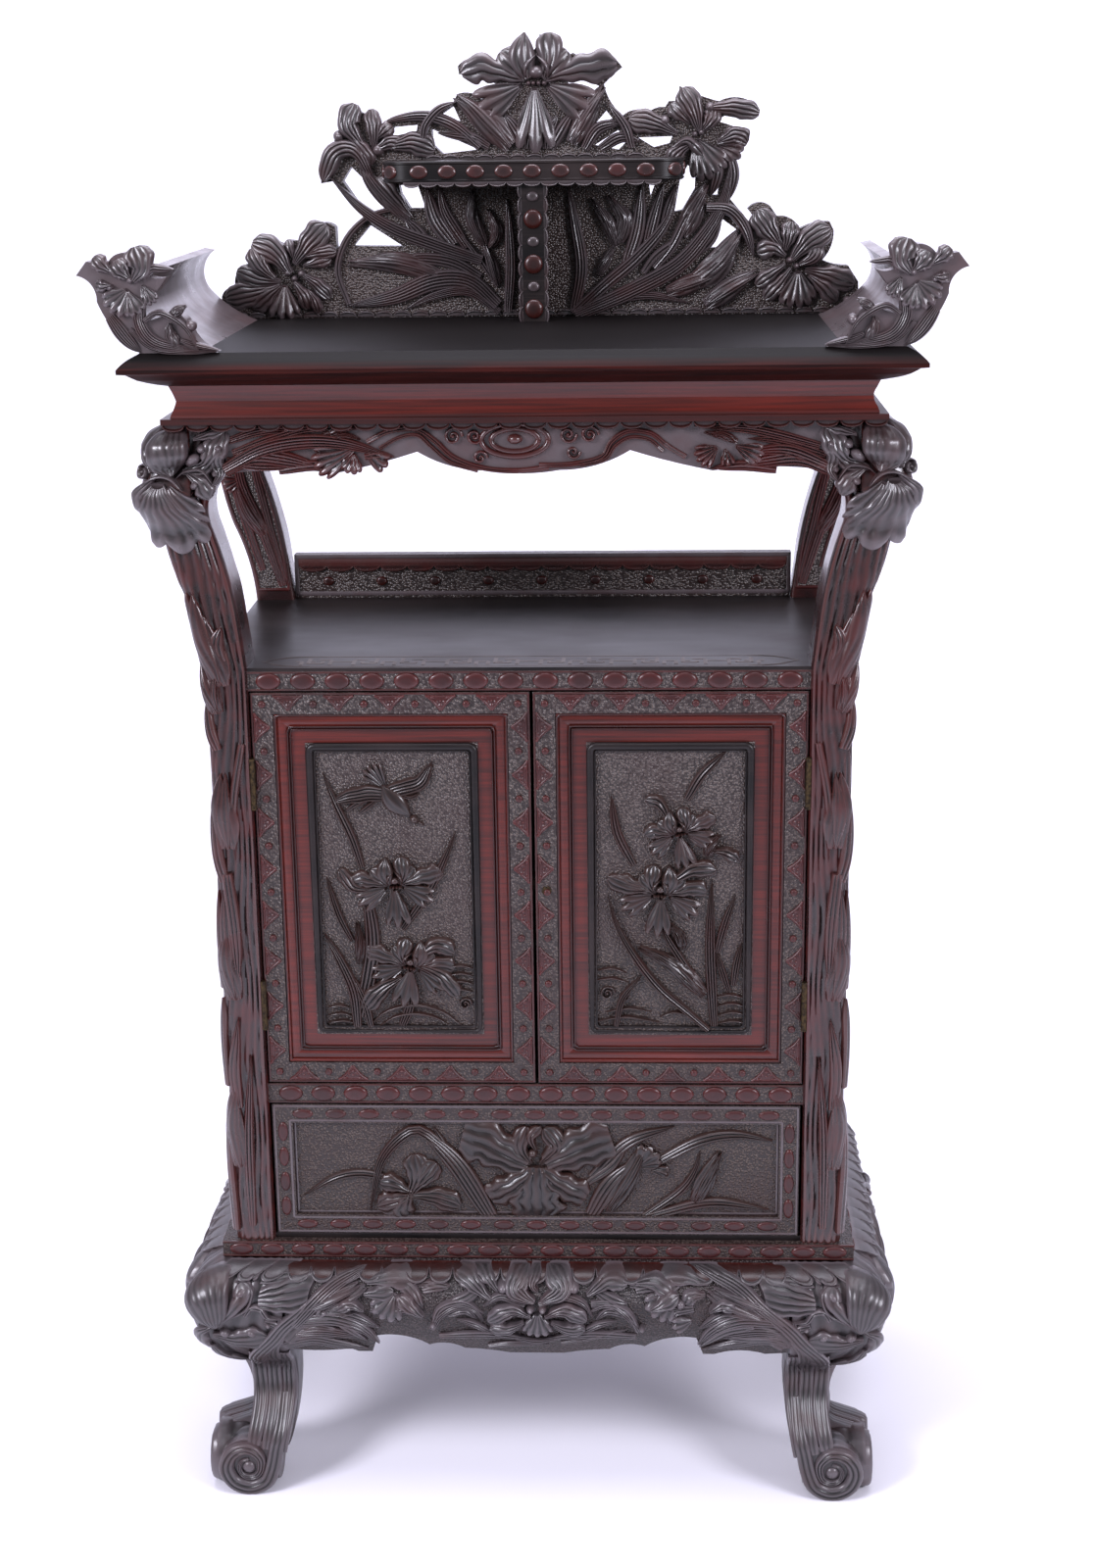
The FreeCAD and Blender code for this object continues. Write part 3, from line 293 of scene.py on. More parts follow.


# Punched ground: close round dots left standing in greyed dark wood, painted lighter on their tops as a highlight and
# darker in the gaps as shade. The backs of doors and boards stay plain, painted darker as shade.
def stippledWood(name):
    tones, settings = groundTones[name], stippleSettings
    material, tree, shader = newMaterial(name)
    cells = addNode(tree, "ShaderNodeTexVoronoi", {
        "Vector": objectSpace(tree, 1 / settings["pitch"]), "Scale": 1.0, "Randomness": settings["randomness"]},
        feature="F1").outputs["Distance"]
    stain = spread(tree, noise(tree, settings["stainScale"], 3.0), 0.4, 0.7, 0.0, settings["stainShare"])
    # Dot tops are painted lighter as a painted highlight, and the gaps darker as painted shade
    paintedDotLightAndShade = ramp(tree, cells, [(0.08, tones["dot"]), (0.6, tones["gap"])])
    tint = mixColours(tree, stain, paintedDotLightAndShade, colour(settings["stain"]))
    # Faces turned to the back get the darker back tone and no dots: plain backs, painted darker as shade on those inner
    # faces
    facing = addNode(tree, "ShaderNodeTexCoord").outputs["Normal"]
    behind = spread(tree, addNode(tree, "ShaderNodeSeparateXYZ", {"Vector": facing}).outputs["Y"], 0.3, 0.7, 0.0, 1.0)
    height = addNode(tree, "ShaderNodeMath", {0: spread(tree, cells, 0.0, 0.65, 1.0, 0.0), 1: behind},
                     operation="SUBTRACT", use_clamp=True).outputs["Value"]
    setShader(shader, colour=mixColours(tree, behind, tint, colour(settings["back"])),
              roughness=settings["roughness"], normal=bump(tree, height, settings["depth"]))
    return material


plainFinishes = {
    "brass": {"stainScale": 300.0, "dark": "1a1511", "light": "57462c", "metallic": 0.8, "roughness": (0.35, 0.6)},
    "iron": {"colour": "2b2624", "metallic": 0.8, "roughness": 0.5},
    "boards": {"grainScale": (260.0, 260.0, 9.0), "dark": "2a1710", "light": "4d2f1f", "grainDepth": 0.0002,
               "roughness": 0.6},
}


# Hinges and keyhole plate: brass browned with age, a little brighter in patches
def agedBrass():
    settings = plainFinishes["brass"]
    material, tree, shader = newMaterial("AgedBrass")
    stain = noise(tree, settings["stainScale"], 4.0)
    setShader(shader, colour=ramp(tree, stain, [(0.35, settings["dark"]), (0.75, settings["light"])]),
              metallic=settings["metallic"], roughness=spread(tree, stain, 0.3, 0.7, *settings["roughness"]))
    return material


# The lock's case and bolt: dull iron, one even tone
def dullIron():
    settings = plainFinishes["iron"]
    material, _, shader = newMaterial("DullIron")
    setShader(shader, colour=colour(settings["colour"]), metallic=settings["metallic"],
              roughness=settings["roughness"])
    return material


# Unpolished boards inside and at the back
def plainWood():
    settings = plainFinishes["boards"]
    material, tree, shader = newMaterial("PlainWood")
    grain = noise(tree, settings["grainScale"], 4.0)
    setShader(shader, colour=ramp(tree, grain, [(0.3, settings["dark"]), (0.7, settings["light"])]),
              roughness=settings["roughness"], normal=bump(tree, grain, settings["grainDepth"], 0.5))
    return material


materials = {
    "carved": carvedWood("CarvedWood"), "legWood": carvedWood("CarvedLegWood"),
    "carvedPanel": carvedWood("CarvedPanelWood"), "postWood": carvedWood("CarvedPostWood"),
    "redCarved": carvedWood("CarvedRedWood"), "darkRed": carvedWood("DarkRedWood"), "fretWood": carvedWood("FretWood"),
    "red": redLacquer(), "redAcross": redLacquer("RedLacquerAcross", False),
    "frieze": redLacquer("FriezeLacquer", False, boxOf("frieze_front")[0][2] * millimetre),
    "black": blackLacquer(), "cornice": corniceLacquer(), "stipple": stippledWood("StippledGround"),
    "darkStipple": stippledWood("DarkStippledGround"), "brass": agedBrass(), "iron": dullIron(), "plain": plainWood(),
}

# The pieces of the frame that have each finish, by name or by how their names start
finishes = {
    "carved": ("leg_", "post_", "flange_", "upper_apron"),
    "stipple": ("deck_rail", "middle_rail", "deck_gallery", "crest_board", "stand_top", "drawer_front",
                "door_left_stiles", "door_left_rails", "door_left_panel",
                "door_right_stiles", "door_right_rails", "door_right_panel"),
    "darkStipple": ("stand_apron_front", "stand_apron_left", "stand_apron_right"),
    "red": ("side_panel_",), "redAcross": ("door_left_moulding", "door_right_moulding"), "frieze": ("frieze_",),
    "cornice": ("cornice",),
    # bottom_board and drawer_divider are painted black as a painted shadow in the gap under the drawer
    "black": ("deck_board", "side_rail_", "crest_shelf", "crest_bracket", "bottom_board", "drawer_divider"),
    "brass": ("hinge_", "keyhole_plate"), "iron": ("lock_",),
    "plain": ("back_panel", "inner_shelf", "shelf_battens", "drawer_guides", "drawer_side_", "drawer_back",
              "drawer_bottom", "stand_apron_back"),
}


def paintFrame():
    for finish, starts in finishes.items():
        for name in nodes:
            if name.startswith(starts):
                nodes[name].data.materials.clear()
                nodes[name].data.materials.append(materials[finish])
    print("frame painted")


studio = {
    "floor": "f0eff6", "floorSurface": {"roughness": 0.8, "specular": 0.2}, "backdropBehind": 2.4, "coveRadius": 1.2,
    "coveSteps": 12, "halfWidth": 7.0, "frontReach": 5.0, "height": 6.0, "lampTone": "f4f2ff", "sky": "f0eefc",
    "skyStrength": 0.45,
}


# A pale floor that turns up into a wall, like a paper roll. Seen from behind the paper is clear, so that the
# cabinet's back shows too.
def addBackdrop():
    radius, behind = studio["coveRadius"], studio["backdropBehind"]
    line = [(-studio["frontReach"], 0.0), (behind, 0.0)]
    for angle in np.linspace(0, math.pi / 2, studio["coveSteps"] + 1)[1:]:
        line.append((behind + radius * math.sin(angle), radius - radius * math.cos(angle)))
    line.append((behind + radius, studio["height"]))
    points = [(side * studio["halfWidth"], y, z) for y, z in line for side in (-1, 1)]
    faces = [(2 * i, 2 * i + 1, 2 * i + 3, 2 * i + 2) for i in range(len(line) - 1)]
    mesh = bpy.data.meshes.new("Backdrop")
    mesh.from_pydata(points, [], faces)
    mesh.polygons.foreach_set("use_smooth", [True] * len(faces))
    material, tree, shader = newMaterial("Paper")
    setShader(shader, colour=colour(studio["floor"]), **studio["floorSurface"])
    behindPaper = addNode(tree, "ShaderNodeNewGeometry").outputs["Backfacing"]
    clear = addNode(tree, "ShaderNodeBsdfTransparent").outputs["BSDF"]
    mixed = addNode(tree, "ShaderNodeMixShader", {0: behindPaper, 1: shader.outputs["BSDF"], 2: clear})
    tree.links.new(mixed.outputs["Shader"], tree.nodes["Material Output"].inputs["Surface"])
    mesh.materials.append(material)
    backdrop = bpy.data.objects.new("Backdrop", mesh)
    bpy.context.scene.collection.objects.link(backdrop)


lamps = [
    {"name": "KeyLeft", "place": (-2.6, -2.4, 2.7), "aim": (0, 0, 1.0), "size": 1.2, "power": 150},
    {"name": "FillRight", "place": (2.8, -2.2, 2.4), "aim": (0, 0, 0.9), "size": 1.2, "power": 105},
    {"name": "Top", "place": (0, -0.4, 3.9), "aim": (0, 0.1, 0.5), "size": 2.0, "power": 70},
    {"name": "Backdrop", "place": (0, 0.9, 3.8), "aim": (0, 3.4, 1.2), "size": 3.0, "power": 95},
]


def addLights():
    for lamp in lamps:
        data = bpy.data.lights.new(lamp["name"], "AREA")
        data.size, data.energy = lamp["size"], lamp["power"]
        data.color = colour(studio["lampTone"])[:3]
        light = bpy.data.objects.new(lamp["name"], data)
        place, aim = Vector(lamp["place"]), Vector(lamp["aim"])
        light.matrix_world = Matrix.Translation(place) @ (aim - place).to_track_quat("-Z", "Y").to_matrix().to_4x4()
        bpy.context.scene.collection.objects.link(light)
    world = bpy.data.worlds.new("Studio")
    world.use_nodes = True
    background = world.node_tree.nodes["Background"]
    background.inputs["Color"].default_value = colour(studio["sky"])
    background.inputs["Strength"].default_value = studio["skyStrength"]
    bpy.context.scene.world = world


def makeStudio():
    addCamera()
    addBackdrop()
    addLights()
    bpy.context.scene.view_settings.view_transform = "Standard"
    print("studio ready")


# Carving kit. An element is laid out flat in millimetres, across, along and up from the ground, then laid on a
# surface. Its edges go down into the ground, so each element is closed.

# Values between stops (place, value), on a curve through them
def through(places, stops):
    x, y = np.array(stops, float).T
    slope = np.gradient(y, x)
    first = np.clip(np.searchsorted(x, places, side="right") - 1, 0, len(x) - 2)
    width = x[first + 1] - x[first]
    s = np.clip((places - x[first]) / width, 0, 1)
    return (y[first] * (1 + 2 * s) * (1 - s) ** 2 + y[first + 1] * s * s * (3 - 2 * s)
            + width * s * (1 - s) * (slope[first] * (1 - s) - slope[first + 1] * s))


# Evenly spaced places on a smooth line through the points
def smoothLine(points, count):
    points = np.array(points, float)
    if len(points) > 2:
        padded = np.concatenate([[2 * points[0] - points[1]], points, [2 * points[-1] - points[-2]]])
        s = np.linspace(0, 1, 13)[:-1, None]
        parts = []
        for a, b, c, d in zip(padded, padded[1:], padded[2:], padded[3:]):
            parts.append(0.5 * (2 * b + (c - a) * s + (2 * a - 5 * b + 4 * c - d) * s ** 2
                                + (3 * b - a - 3 * c + d) * s ** 3))
        points = np.concatenate(parts + [points[-1:]])
    steps = np.concatenate([[0], np.cumsum(np.linalg.norm(np.diff(points, axis=0), axis=1))])
    places = np.linspace(0, steps[-1], count)
    return np.stack([np.interp(places, steps, points[:, axis]) for axis in (0, 1)], -1)


# Round reeds side by side over s from -1 to 1: 0 in each groove and 1 on each crest
def reedsOver(s, count):
    return np.abs(np.sin(math.pi * count * (s + 1) / 2)) ** 0.75


# Outlines of strips: share of the full half width at shares of the length, from the root to the tip
outlines = {
    "leaf": [(0, 0.6), (0.3, 0.88), (0.6, 1.0), (0.82, 0.72), (0.94, 0.34), (1, 0.04)],
    "blade": [(0, 0.75), (0.2, 0.95), (0.5, 1.0), (0.75, 0.75), (0.9, 0.4), (1, 0.05)],
    "band": [(0, 1.0), (0.5, 1.0), (1, 1.0)],
    "shank": [(0, 0.85), (0.3, 1.0), (0.7, 1.0), (1, 0.85)],
    "wedge": [(0, 1.0), (0.5, 0.53), (1, 0.05)],
    "volute": [(0, 0.8), (0.2, 0.95), (0.6, 0.95), (0.7, 0.8), (0.8, 0.54), (0.95, 0.3), (1, 0.2)],
    "shell": [(0, 0.55), (0.3, 0.8), (0.7, 1.0), (0.92, 0.95), (1, 0.75)],
    "bud": [(0, 0.3), (0.15, 0.66), (0.4, 1.0), (0.65, 0.88), (0.85, 0.5), (1, 0.05)],
    "petal": [(0, 0.22), (0.3, 0.6), (0.6, 0.95), (0.78, 1.0), (0.92, 0.78), (1, 0.3)],
    "lens": [(0, 0.06), (0.2, 0.62), (0.5, 1.0), (0.8, 0.62), (1, 0.06)],
    "round": [(0, 0.18), (0.1, 0.6), (0.3, 0.92), (0.5, 1.0), (0.7, 0.92), (0.9, 0.6), (1, 0.18)],
}


class Carving:
    def __init__(self, surface, relief=1.0, sink=2.0, mirrored=False):
        self.surface, self.relief, self.sink, self.mirrored = surface, relief, sink, mirrored
        self.points, self.faces, self.count = [], [], 0

    # A grid of places, rows from root to tip and columns to the right of that way, closed underneath
    def addSheet(self, grid):
        rows, columns = grid.shape[:2]
        grid[..., 2] *= self.relief
        low = grid[:, [0, -1]].copy()
        low[..., 2] = -self.sink
        top = np.arange(rows * columns).reshape(rows, columns) + self.count
        base = np.arange(rows * 2).reshape(rows, 2) + self.count + rows * columns
        def quads(a, b, c, d):
            return np.stack([a.ravel(), b.ravel(), c.ravel(), d.ravel()], -1).tolist()
        self.faces += quads(top[:-1, :-1], top[:-1, 1:], top[1:, 1:], top[1:, :-1])
        self.faces += quads(top[:-1, 0], top[1:, 0], base[1:, 0], base[:-1, 0])
        self.faces += quads(top[1:, -1], top[:-1, -1], base[:-1, 1], base[1:, 1])
        self.faces += quads(base[:-1, 0], base[1:, 0], base[1:, 1], base[:-1, 1])
        self.faces.append(top[0, ::-1].tolist() + base[0].tolist())
        self.faces.append(top[-1].tolist() + base[-1, ::-1].tolist())
        self.points.append(self.surface(*np.concatenate([grid.reshape(-1, 3), low.reshape(-1, 3)]).T))
        self.count += rows * (columns + 2)

    # A strip along a line, such as a leaf or a petal, reeded along its length. Slant turns its grooves into a twist.
    def strip(self, points, width, outline="leaf", reeds=4, rise=4.0, depth=1.0, lift=0.0, slant=0.0, ruffle=0.0,
              tilt=0.0, rows=None):
        line = smoothLine(points, rows or 22)
        ahead = np.gradient(line, axis=0)
        ahead /= np.linalg.norm(ahead, axis=1)[:, None] + 1e-9
        aside = np.stack([ahead[:, 1], -ahead[:, 0]], -1)
        t = np.linspace(0, 1, len(line))[:, None]
        s = np.linspace(-1, 1, max(9, 4 * reeds + 1))[None, :]
        half = width / 2 * through(t, outlines[outline]) * (1 + ruffle * np.sin(t * 19 + 1.5 * np.sign(s)))
        grid = line[:, None, :] + aside[:, None, :] * (half * s)[..., None]
        ends = through(t, [(0, 0.7), (0.2, 1), (0.75, 1), (1, 0.45)])
        height = lift + ends * (rise * (0.35 + 0.65 * np.sqrt(1 - 0.97 * s * s)) + tilt * s)
        height = height + depth * ends * (reedsOver(s + slant * t, reeds) - 0.5)
        self.addSheet(np.concatenate([grid, np.broadcast_to(height, grid.shape[:2])[..., None]], -1))

    # A fan petal spread from its root: folds run out to a lobed, rolled rim. Sharp folds make a shell.
    def fan(self, root, turn, spread, reach, reeds=4, rise=5.0, depth=1.6, lift=0.0, lobes=3, ruffle=0.1, sides=0.25,
            sharp=False):
        t = np.linspace(0, 1, 14)[:, None]
        s = np.linspace(-1, 1, (5 if sharp else 6) * reeds + 1)[None, :]
        angle = math.radians(turn) - (s + 0.05 * np.sin(3 * t)) * math.radians(spread) / 2
        radius = reach * (0.14 + 0.86 * t) * (1 - sides * s ** 4)
        lobe = 2 * reedsOver(s, lobes) - 1
        radius = radius * (1 + ruffle * t ** 2 * lobe)
        folds = reedsOver(s, reeds) - 0.5 if sharp else 0.5 * np.cos(math.pi * reeds * s + 0.6 * np.sin(4 * t))
        height = lift + rise * through(t, [(0, 0.35), (0.35, 0.7), (0.75, 1), (0.92, 0.92), (1, 0.5)])
        height = height * (1 - 0.3 * s * s) + depth * folds * through(t, [(0, 0.3), (0.6, 1), (1, 1.2)])
        height = height + 0.5 * depth * t ** 4 * lobe
        grid = np.stack([root[0] + radius * np.cos(angle), root[1] + radius * np.sin(angle), height], -1)
        self.addSheet(grid)

    # A round or oval bead. A higher bulge makes its top flatter and its sides steeper.
    def bead(self, place, wide, tall=None, rise=4.0, lift=0.0, turn=0.0, rows=9, bulge=1):
        v = np.sin(np.linspace(-math.pi / 2 * 0.93, math.pi / 2 * 0.93, rows))[:, None]
        s = np.sin(np.linspace(-math.pi / 2, math.pi / 2, rows))[None, :]
        across, along = wide / 2 * s * np.sqrt(1 - v * v), (tall or wide) / 2 * v + 0 * s
        cos, sin = math.cos(math.radians(turn)), math.sin(math.radians(turn))
        height = lift + rise * np.sqrt(1 - np.clip(v * v + s * s * (1 - v * v), 0, 1) ** bulge)
        self.addSheet(np.stack([place[0] + across * cos - along * sin, place[1] + across * sin + along * cos,
                                height], -1))

    # A bud of overlapping striped petals
    def bud(self, points, width, rise=6.0, lift=0.0, twist=0.5):
        line = smoothLine(points, 5)
        ahead = (line[-1] - line[0]) / np.linalg.norm(line[-1] - line[0])
        aside = np.array([ahead[1], -ahead[0]]) * width * 0.2
        for side in (-1, 1):
            self.strip(line[:4 if side > 0 else 5] + side * aside, width * 0.66, "bud", 3, rise * 0.75, 1.1, lift,
                       slant=side * twist, tilt=-side * 0.8)
        self.strip(line, width * 0.5, "bud", 3, rise, 1.2, lift + 0.8, slant=twist * 0.5)

    # A scallop hanging from the middle of its straight top edge, with a rim along its round one
    def scallop(self, place, width, drop, rise, rims=None):
        half = width / 2
        s = np.linspace(-1, 1, 13)[None, :]
        t = np.linspace(0, 1, 5)[:, None]
        along = -drop * t * (0.22 + 0.78 * np.sqrt(np.clip(1 - s ** 2, 0, 1)))
        height = rise * (0.75 + 0.25 * np.cos(math.pi * t * 0.5) * (1 - s * s)) + 0 * s
        grid = np.stack([place[0] + half * s + 0 * t, place[1] + along, height + 0 * s], -1)[:, ::-1]
        self.addSheet(grid)
        rim = np.stack([place[0] + half * 0.96 * s[0], place[1] + along[-1] * 0.93], -1)
        (rims or self).strip(rim, width * 0.12, "round", 1, 3.4, 0.2, rise * 0.7, rows=13)

    # A curl wound round a bead
    def spiral(self, centre, reach, turns, width, rise, hand=1):
        angle = hand * np.linspace(0, 2 * math.pi * turns, int(14 * turns) + 2)
        radius = np.linspace(reach, reach * 0.16, len(angle))
        path = np.stack([centre[0] + radius * np.cos(angle), centre[1] + radius * np.sin(angle)], -1)
        self.strip(path, width, "band", 1, rise, 0.2, rows=int(18 * turns))
        self.bead(centre, reach * 0.42, rise=rise + 1)

    # An iris with its hood at the centre. Size is half its width. Arms are the long side petals.
    def iris(self, centre, size, turn=0.0, hand=1, arms=1.0, skirt=1.0, lift=0.0):
        unit = size / 100
        cos, sin = math.cos(math.radians(turn)), math.sin(math.radians(turn))
        def at(*places):
            places = np.array(places, float) * [hand, 1] * unit
            return places @ np.array([[cos, sin], [-sin, cos]]) + centre
        def turned(angle):
            return turn + (angle if hand > 0 else 180 - angle)
        high = max(0.6, unit)
        for side in (-1, 1):
            reach = arms * (1 if side < 0 else 1.14)
            arm = at((side * 14, -9), (side * 44, 0), (side * 70 * reach, 6), (side * 95 * reach, 4 + 5 * side))
            self.strip(arm, (36 if side < 0 else 40) * unit, "petal", 3, 6 * high, 1.5 * high, lift, ruffle=0.13)
            self.strip(at((side * 14, -10), (side * 28, 10), (side * 44, 26)), 34 * unit, "petal", 3, 6 * high,
                       1.3 * high, lift + 0.4)
            self.fan(at((side * 12, -14))[0], turned(208 if side < 0 else -28), 56, 66 * unit, 4, 6 * high,
                     1.6 * high, lift + 0.6, lobes=3, ruffle=0.13, sides=0.32)
        self.fan(at((0, -12))[0], turned(-89), 50 * skirt, 80 * unit, 4, 7 * high, 1.7 * high, lift + 1.6 * high,
                 lobes=3, ruffle=0.13, sides=0.26)
        self.strip(at((-8, -8), (-16, 18), (-12, 50)), 36 * unit, "bud", 3, 8 * high, 1.4 * high, lift + high)
        self.strip(at((13, -8), (21, 18), (18, 49)), 35 * unit, "petal", 3, 7 * high, 1.4 * high, lift + high)
        for side in (-1, 1):
            self.strip(at((3 + side * 15, -8), (3 + side * 13, 8), (3, 22)), 8 * unit, "lens", 1, 11 * high, 0.4, lift)
        self.bead(at((3, 0))[0], 24 * unit, 18 * unit, 11 * high, lift, turned(0) if hand > 0 else turn)
        for place in (-7, -1, 6, 13):
            self.bead(at((place, -14))[0], 7 * unit, rise=11.5 * high, lift=lift)

    # Turns everything carved so far into one piece
    def build(self, name, material, body="cabinet"):
        points = np.concatenate(self.points) * millimetre
        faces = self.faces
        if self.mirrored:
            points = points * [-1, 1, 1]
            faces = [face[::-1] for face in faces]
        return addPiece(name, points, faces, material, body)


def addPiece(name, points, faces, material, body="cabinet", sharp=38):
    mesh = bpy.data.meshes.new(name)
    mesh.from_pydata(np.asarray(points).tolist(), [], faces)
    mesh.polygons.foreach_set("use_smooth", [True] * len(mesh.polygons))
    mesh.set_sharp_from_angle(angle=math.radians(sharp))
    mesh.materials.append(materials[material])
    piece = bpy.data.objects.new(name, mesh)
    bpy.context.scene.collection.objects.link(piece)
    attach(piece, body)
    return piece


# An upright front face at the given depth
def frontAt(depth):
    return lambda across, along, height: np.stack([across, depth - height, along], -1)


# Places in an enlargement of the photograph, turned into millimetres on a piece's front
class Tracing:
    def __init__(self, corner, zoom, depth):
        self.corner, self.zoom, self.depth = np.array(corner, float), zoom, depth
        left, right = self.at([(0, 500), (1000, 500)])
        self.scale = np.linalg.norm(right - left) / 1000

    def at(self, points):
        return onPlane(np.array(points, float) / self.zoom + self.corner, self.depth)

    def place(self, point):
        return self.at([point])[0]


# The same on a bowed front, whose depth changes with height
class BowedTracing(Tracing):
    def __init__(self, corner, zoom, heights, faces):
        self.heights, self.faces = heights, faces
        Tracing.__init__(self, corner, zoom, faces.min())

    def at(self, points):
        pixels = np.array(points, float) / self.zoom + self.corner
        places = onPlane(pixels, self.faces.min())
        for _ in range(8):  # depth and height settle on each other
            places = onPlane(pixels, np.interp(places[:, 1], self.heights, self.faces))
        return places


pressedShare = 0.02


# Places above a top edge are pressed down almost onto it, so that carving stays under the board above
def pressUnder(along, top):
    return np.where(along > top, top + (along - top) * pressedShare, along)


# Widest reach of a node's mesh at given heights: lowest and highest x and y
def reachOf(node, heights, within=None):
    mesh = nodes[node].data
    points = np.empty(len(mesh.vertices) * 3)
    mesh.vertices.foreach_get("co", points)
    points = points.reshape(-1, 3) / millimetre
    ends = np.empty(len(mesh.edges) * 2, dtype=int)
    mesh.edges.foreach_get("vertices", ends)
    low, high = points[ends[::2]], points[ends[1::2]]
    rows = []
    for height in heights:
        cut = (low[:, 2] - height) * (high[:, 2] - height) <= 0
        cut &= np.abs(high[:, 2] - low[:, 2]) > 1e-6
        start, end = low[cut], high[cut]
        share = (height - start[:, 2]) / (end[:, 2] - start[:, 2])
        places = start + (end - start) * share[:, None]
        if within is not None:
            places = places[within(places)]
        rows.append([places[:, 0].min(), places[:, 0].max(), places[:, 1].min(), places[:, 1].max()])
    return np.array(rows)


# Legs and posts: rounded, reeded bodies that stand in for the plain solids

tubes = {"corner": 16.0, "legCorner": 24.0, "smallCorner": 3.0, "reeds": 12, "reedDepth": 3.2, "rowStep": 7.0,
         "straightStep": 16.0, "headCorner": 27.0, "drift": 0.11, "driftLength": 190.0, "unevenness": 0.05}


def outwards(points, faces):
    volume = 0.0
    for face in faces:
        corners = points[face]
        for b, c in zip(corners[1:-1], corners[2:]):
            volume += np.dot(corners[0], np.cross(b, c))
    return faces if volume > 0 else [face[::-1] for face in faces]


# A closed skin over rings of points, each ring in the same order
def skin(rings):
    rows, columns = rings.shape[:2]
    index = np.arange(rows * columns).reshape(rows, columns)
    nextOne = np.roll(index, -1, 1)
    faces = np.stack([index[:-1], nextOne[:-1], nextOne[1:], index[1:]], -1).reshape(-1, 4).tolist()
    faces += [index[0, ::-1].tolist(), index[-1].tolist()]
    points = rings.reshape(-1, 3)
    return points, outwards(points, faces)


def joined(parts):
    points, faces, count = [], [], 0
    for places, polygons in parts:
        points.append(places)
        faces += [[corner + count for corner in face] for face in polygons]
        count += len(places)
    return np.concatenate(points), faces


# One level of a post: reeds over the outer side and the front, plain faces inside and behind
def postRing(reach, height, corner, depth, reeds):
    x0, x1, y0, y1 = reach
    small = tubes["smallCorner"]
    outline = []
    arcs = [(x0, y0, 1, 1, corner, 225, 270), (x1, y0, -1, 1, small, 270, 360), (x1, y1, -1, -1, small, 0, 90),
            (x0, y1, 1, -1, small, 90, 180), (x0, y0, 1, 1, corner, 180, 225)]
    for x, y, right, up, radius, start, end in arcs:
        angle = np.radians(np.linspace(start, end, 9))
        outline += list(zip(x + right * radius + radius * np.cos(angle), y + up * radius + radius * np.sin(angle)))
    outline = np.array(outline)
    walked = np.concatenate([[0], np.cumsum(np.linalg.norm(np.diff(outline, axis=0), axis=1))])
    around, bow = walked[-1], math.pi * corner / 4
    front, side = x1 - x0 - corner + bow, y1 - y0 - corner + bow
    s = np.linspace(-1, 1, 5 * reeds + 1)
    places = np.where(s < 0, around + s * side, s * front)
    plain = np.linspace(front, around - side, 22)[1:-1]
    order = np.concatenate([places[s >= 0], plain, places[s < 0]])
    wander = tubes["drift"] * math.sin(height / tubes["driftLength"] * 2 * math.pi)
    uneven = s + (1 - s * s) * (tubes["unevenness"] * np.sin(5.3 * s + 0.9) + wander)
    cut = depth * (1 - reedsOver(uneven, reeds)) if depth else 0 * s
    cut = np.concatenate([cut[s >= 0], 0 * plain, cut[s < 0]])
    def at(walk):
        return np.stack([np.interp(walk, walked, outline[:, axis]) for axis in (0, 1)], -1)
    ahead = at((order + 0.5) % around) - at((order - 0.5) % around)
    ahead /= np.linalg.norm(ahead, axis=1)[:, None]
    spots = at(order) - np.stack([ahead[:, 1], -ahead[:, 0]], -1) * cut[:, None]
    return np.column_stack([spots, np.full(len(spots), height)])


def tube(reach, heights, corner, depth=None, reeds=None):
    depth = tubes["reedDepth"] if depth is None else depth
    rings = [postRing(limits, height, corner, depth, reeds or tubes["reeds"])
             for limits, height in zip(reach, heights)]
    return skin(np.array(rings))


# Surface around a post's outer front corner: across is 0 on the corner, positive over the front
def aroundPost(reach, heights, corner):
    def surface(across, along, height):
        along = pressUnder(along, heights[-1])
        x0, y0 = (np.interp(along, heights, reach[:, column]) for column in (0, 2))
        bow = math.pi * corner / 4
        angle = np.radians(225) + np.clip(across, -bow, bow) / corner
        out = np.stack([np.cos(angle), np.sin(angle)], -1)
        x = x0 + corner + corner * out[:, 0] + np.clip(across - bow, 0, None) + out[:, 0] * height
        y = y0 + corner + corner * out[:, 1] + np.clip(-across - bow, 0, None) + out[:, 1] * height
        return np.stack([x, y, along], -1)
    return surface


# A photograph's pixels as places around a post: how far over the corner, how high
class AroundTracing:
    def __init__(self, plan, reach, heights, corner):
        page = plan["corner"], plan["zoom"]
        self.traced = Tracing(*page, plan["depth"]) if "depth" in plan else BowedTracing(*page, heights, reach[:, 2])
        self.reach, self.heights, self.corner, self.scale = reach, heights, corner, self.traced.scale

    def at(self, points):
        places = self.traced.at(points)
        edge = np.interp(places[:, 1], self.heights, self.reach[:, 0])
        bow = math.pi * self.corner / 4
        return np.stack([places[:, 0] - edge - self.corner + bow, places[:, 1]], -1)

    def place(self, point):
        return self.at([point])[0]


# Reach of a left or right node, told as if it were the left one
def leftReach(node, heights, within=None):
    reach = reachOf(node, heights, within)
    if node.endswith("right"):
        reach = np.stack([-reach[:, 1], -reach[:, 0], reach[:, 2], reach[:, 3]], -1)
    return reach


# A piece made on the left, which stands in for its node and is mirrored where that is a right one
def standInFor(node, parts, material):
    points, faces = joined(parts)
    points = points * millimetre
    if node.endswith("right"):
        points, faces = points * [-1, 1, 1], [face[::-1] for face in faces]
    piece = addPiece(node + "_carved", points, faces, material, sharp=50)
    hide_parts(node)


scrolls = {"centre": (-390.0, 39.5), "radius": 41.0, "frontFace": -226.5, "sideFace": -435.0, "length": 82.0,
           "sideCentre": -181.5, "reeds": 4, "reedDepth": 2.0, "turnPitch": 11.5, "spiralRise": 3.0,
           "backFace": 177.5, "backLength": 84.4, "around": 48, "lowest": 0.4}


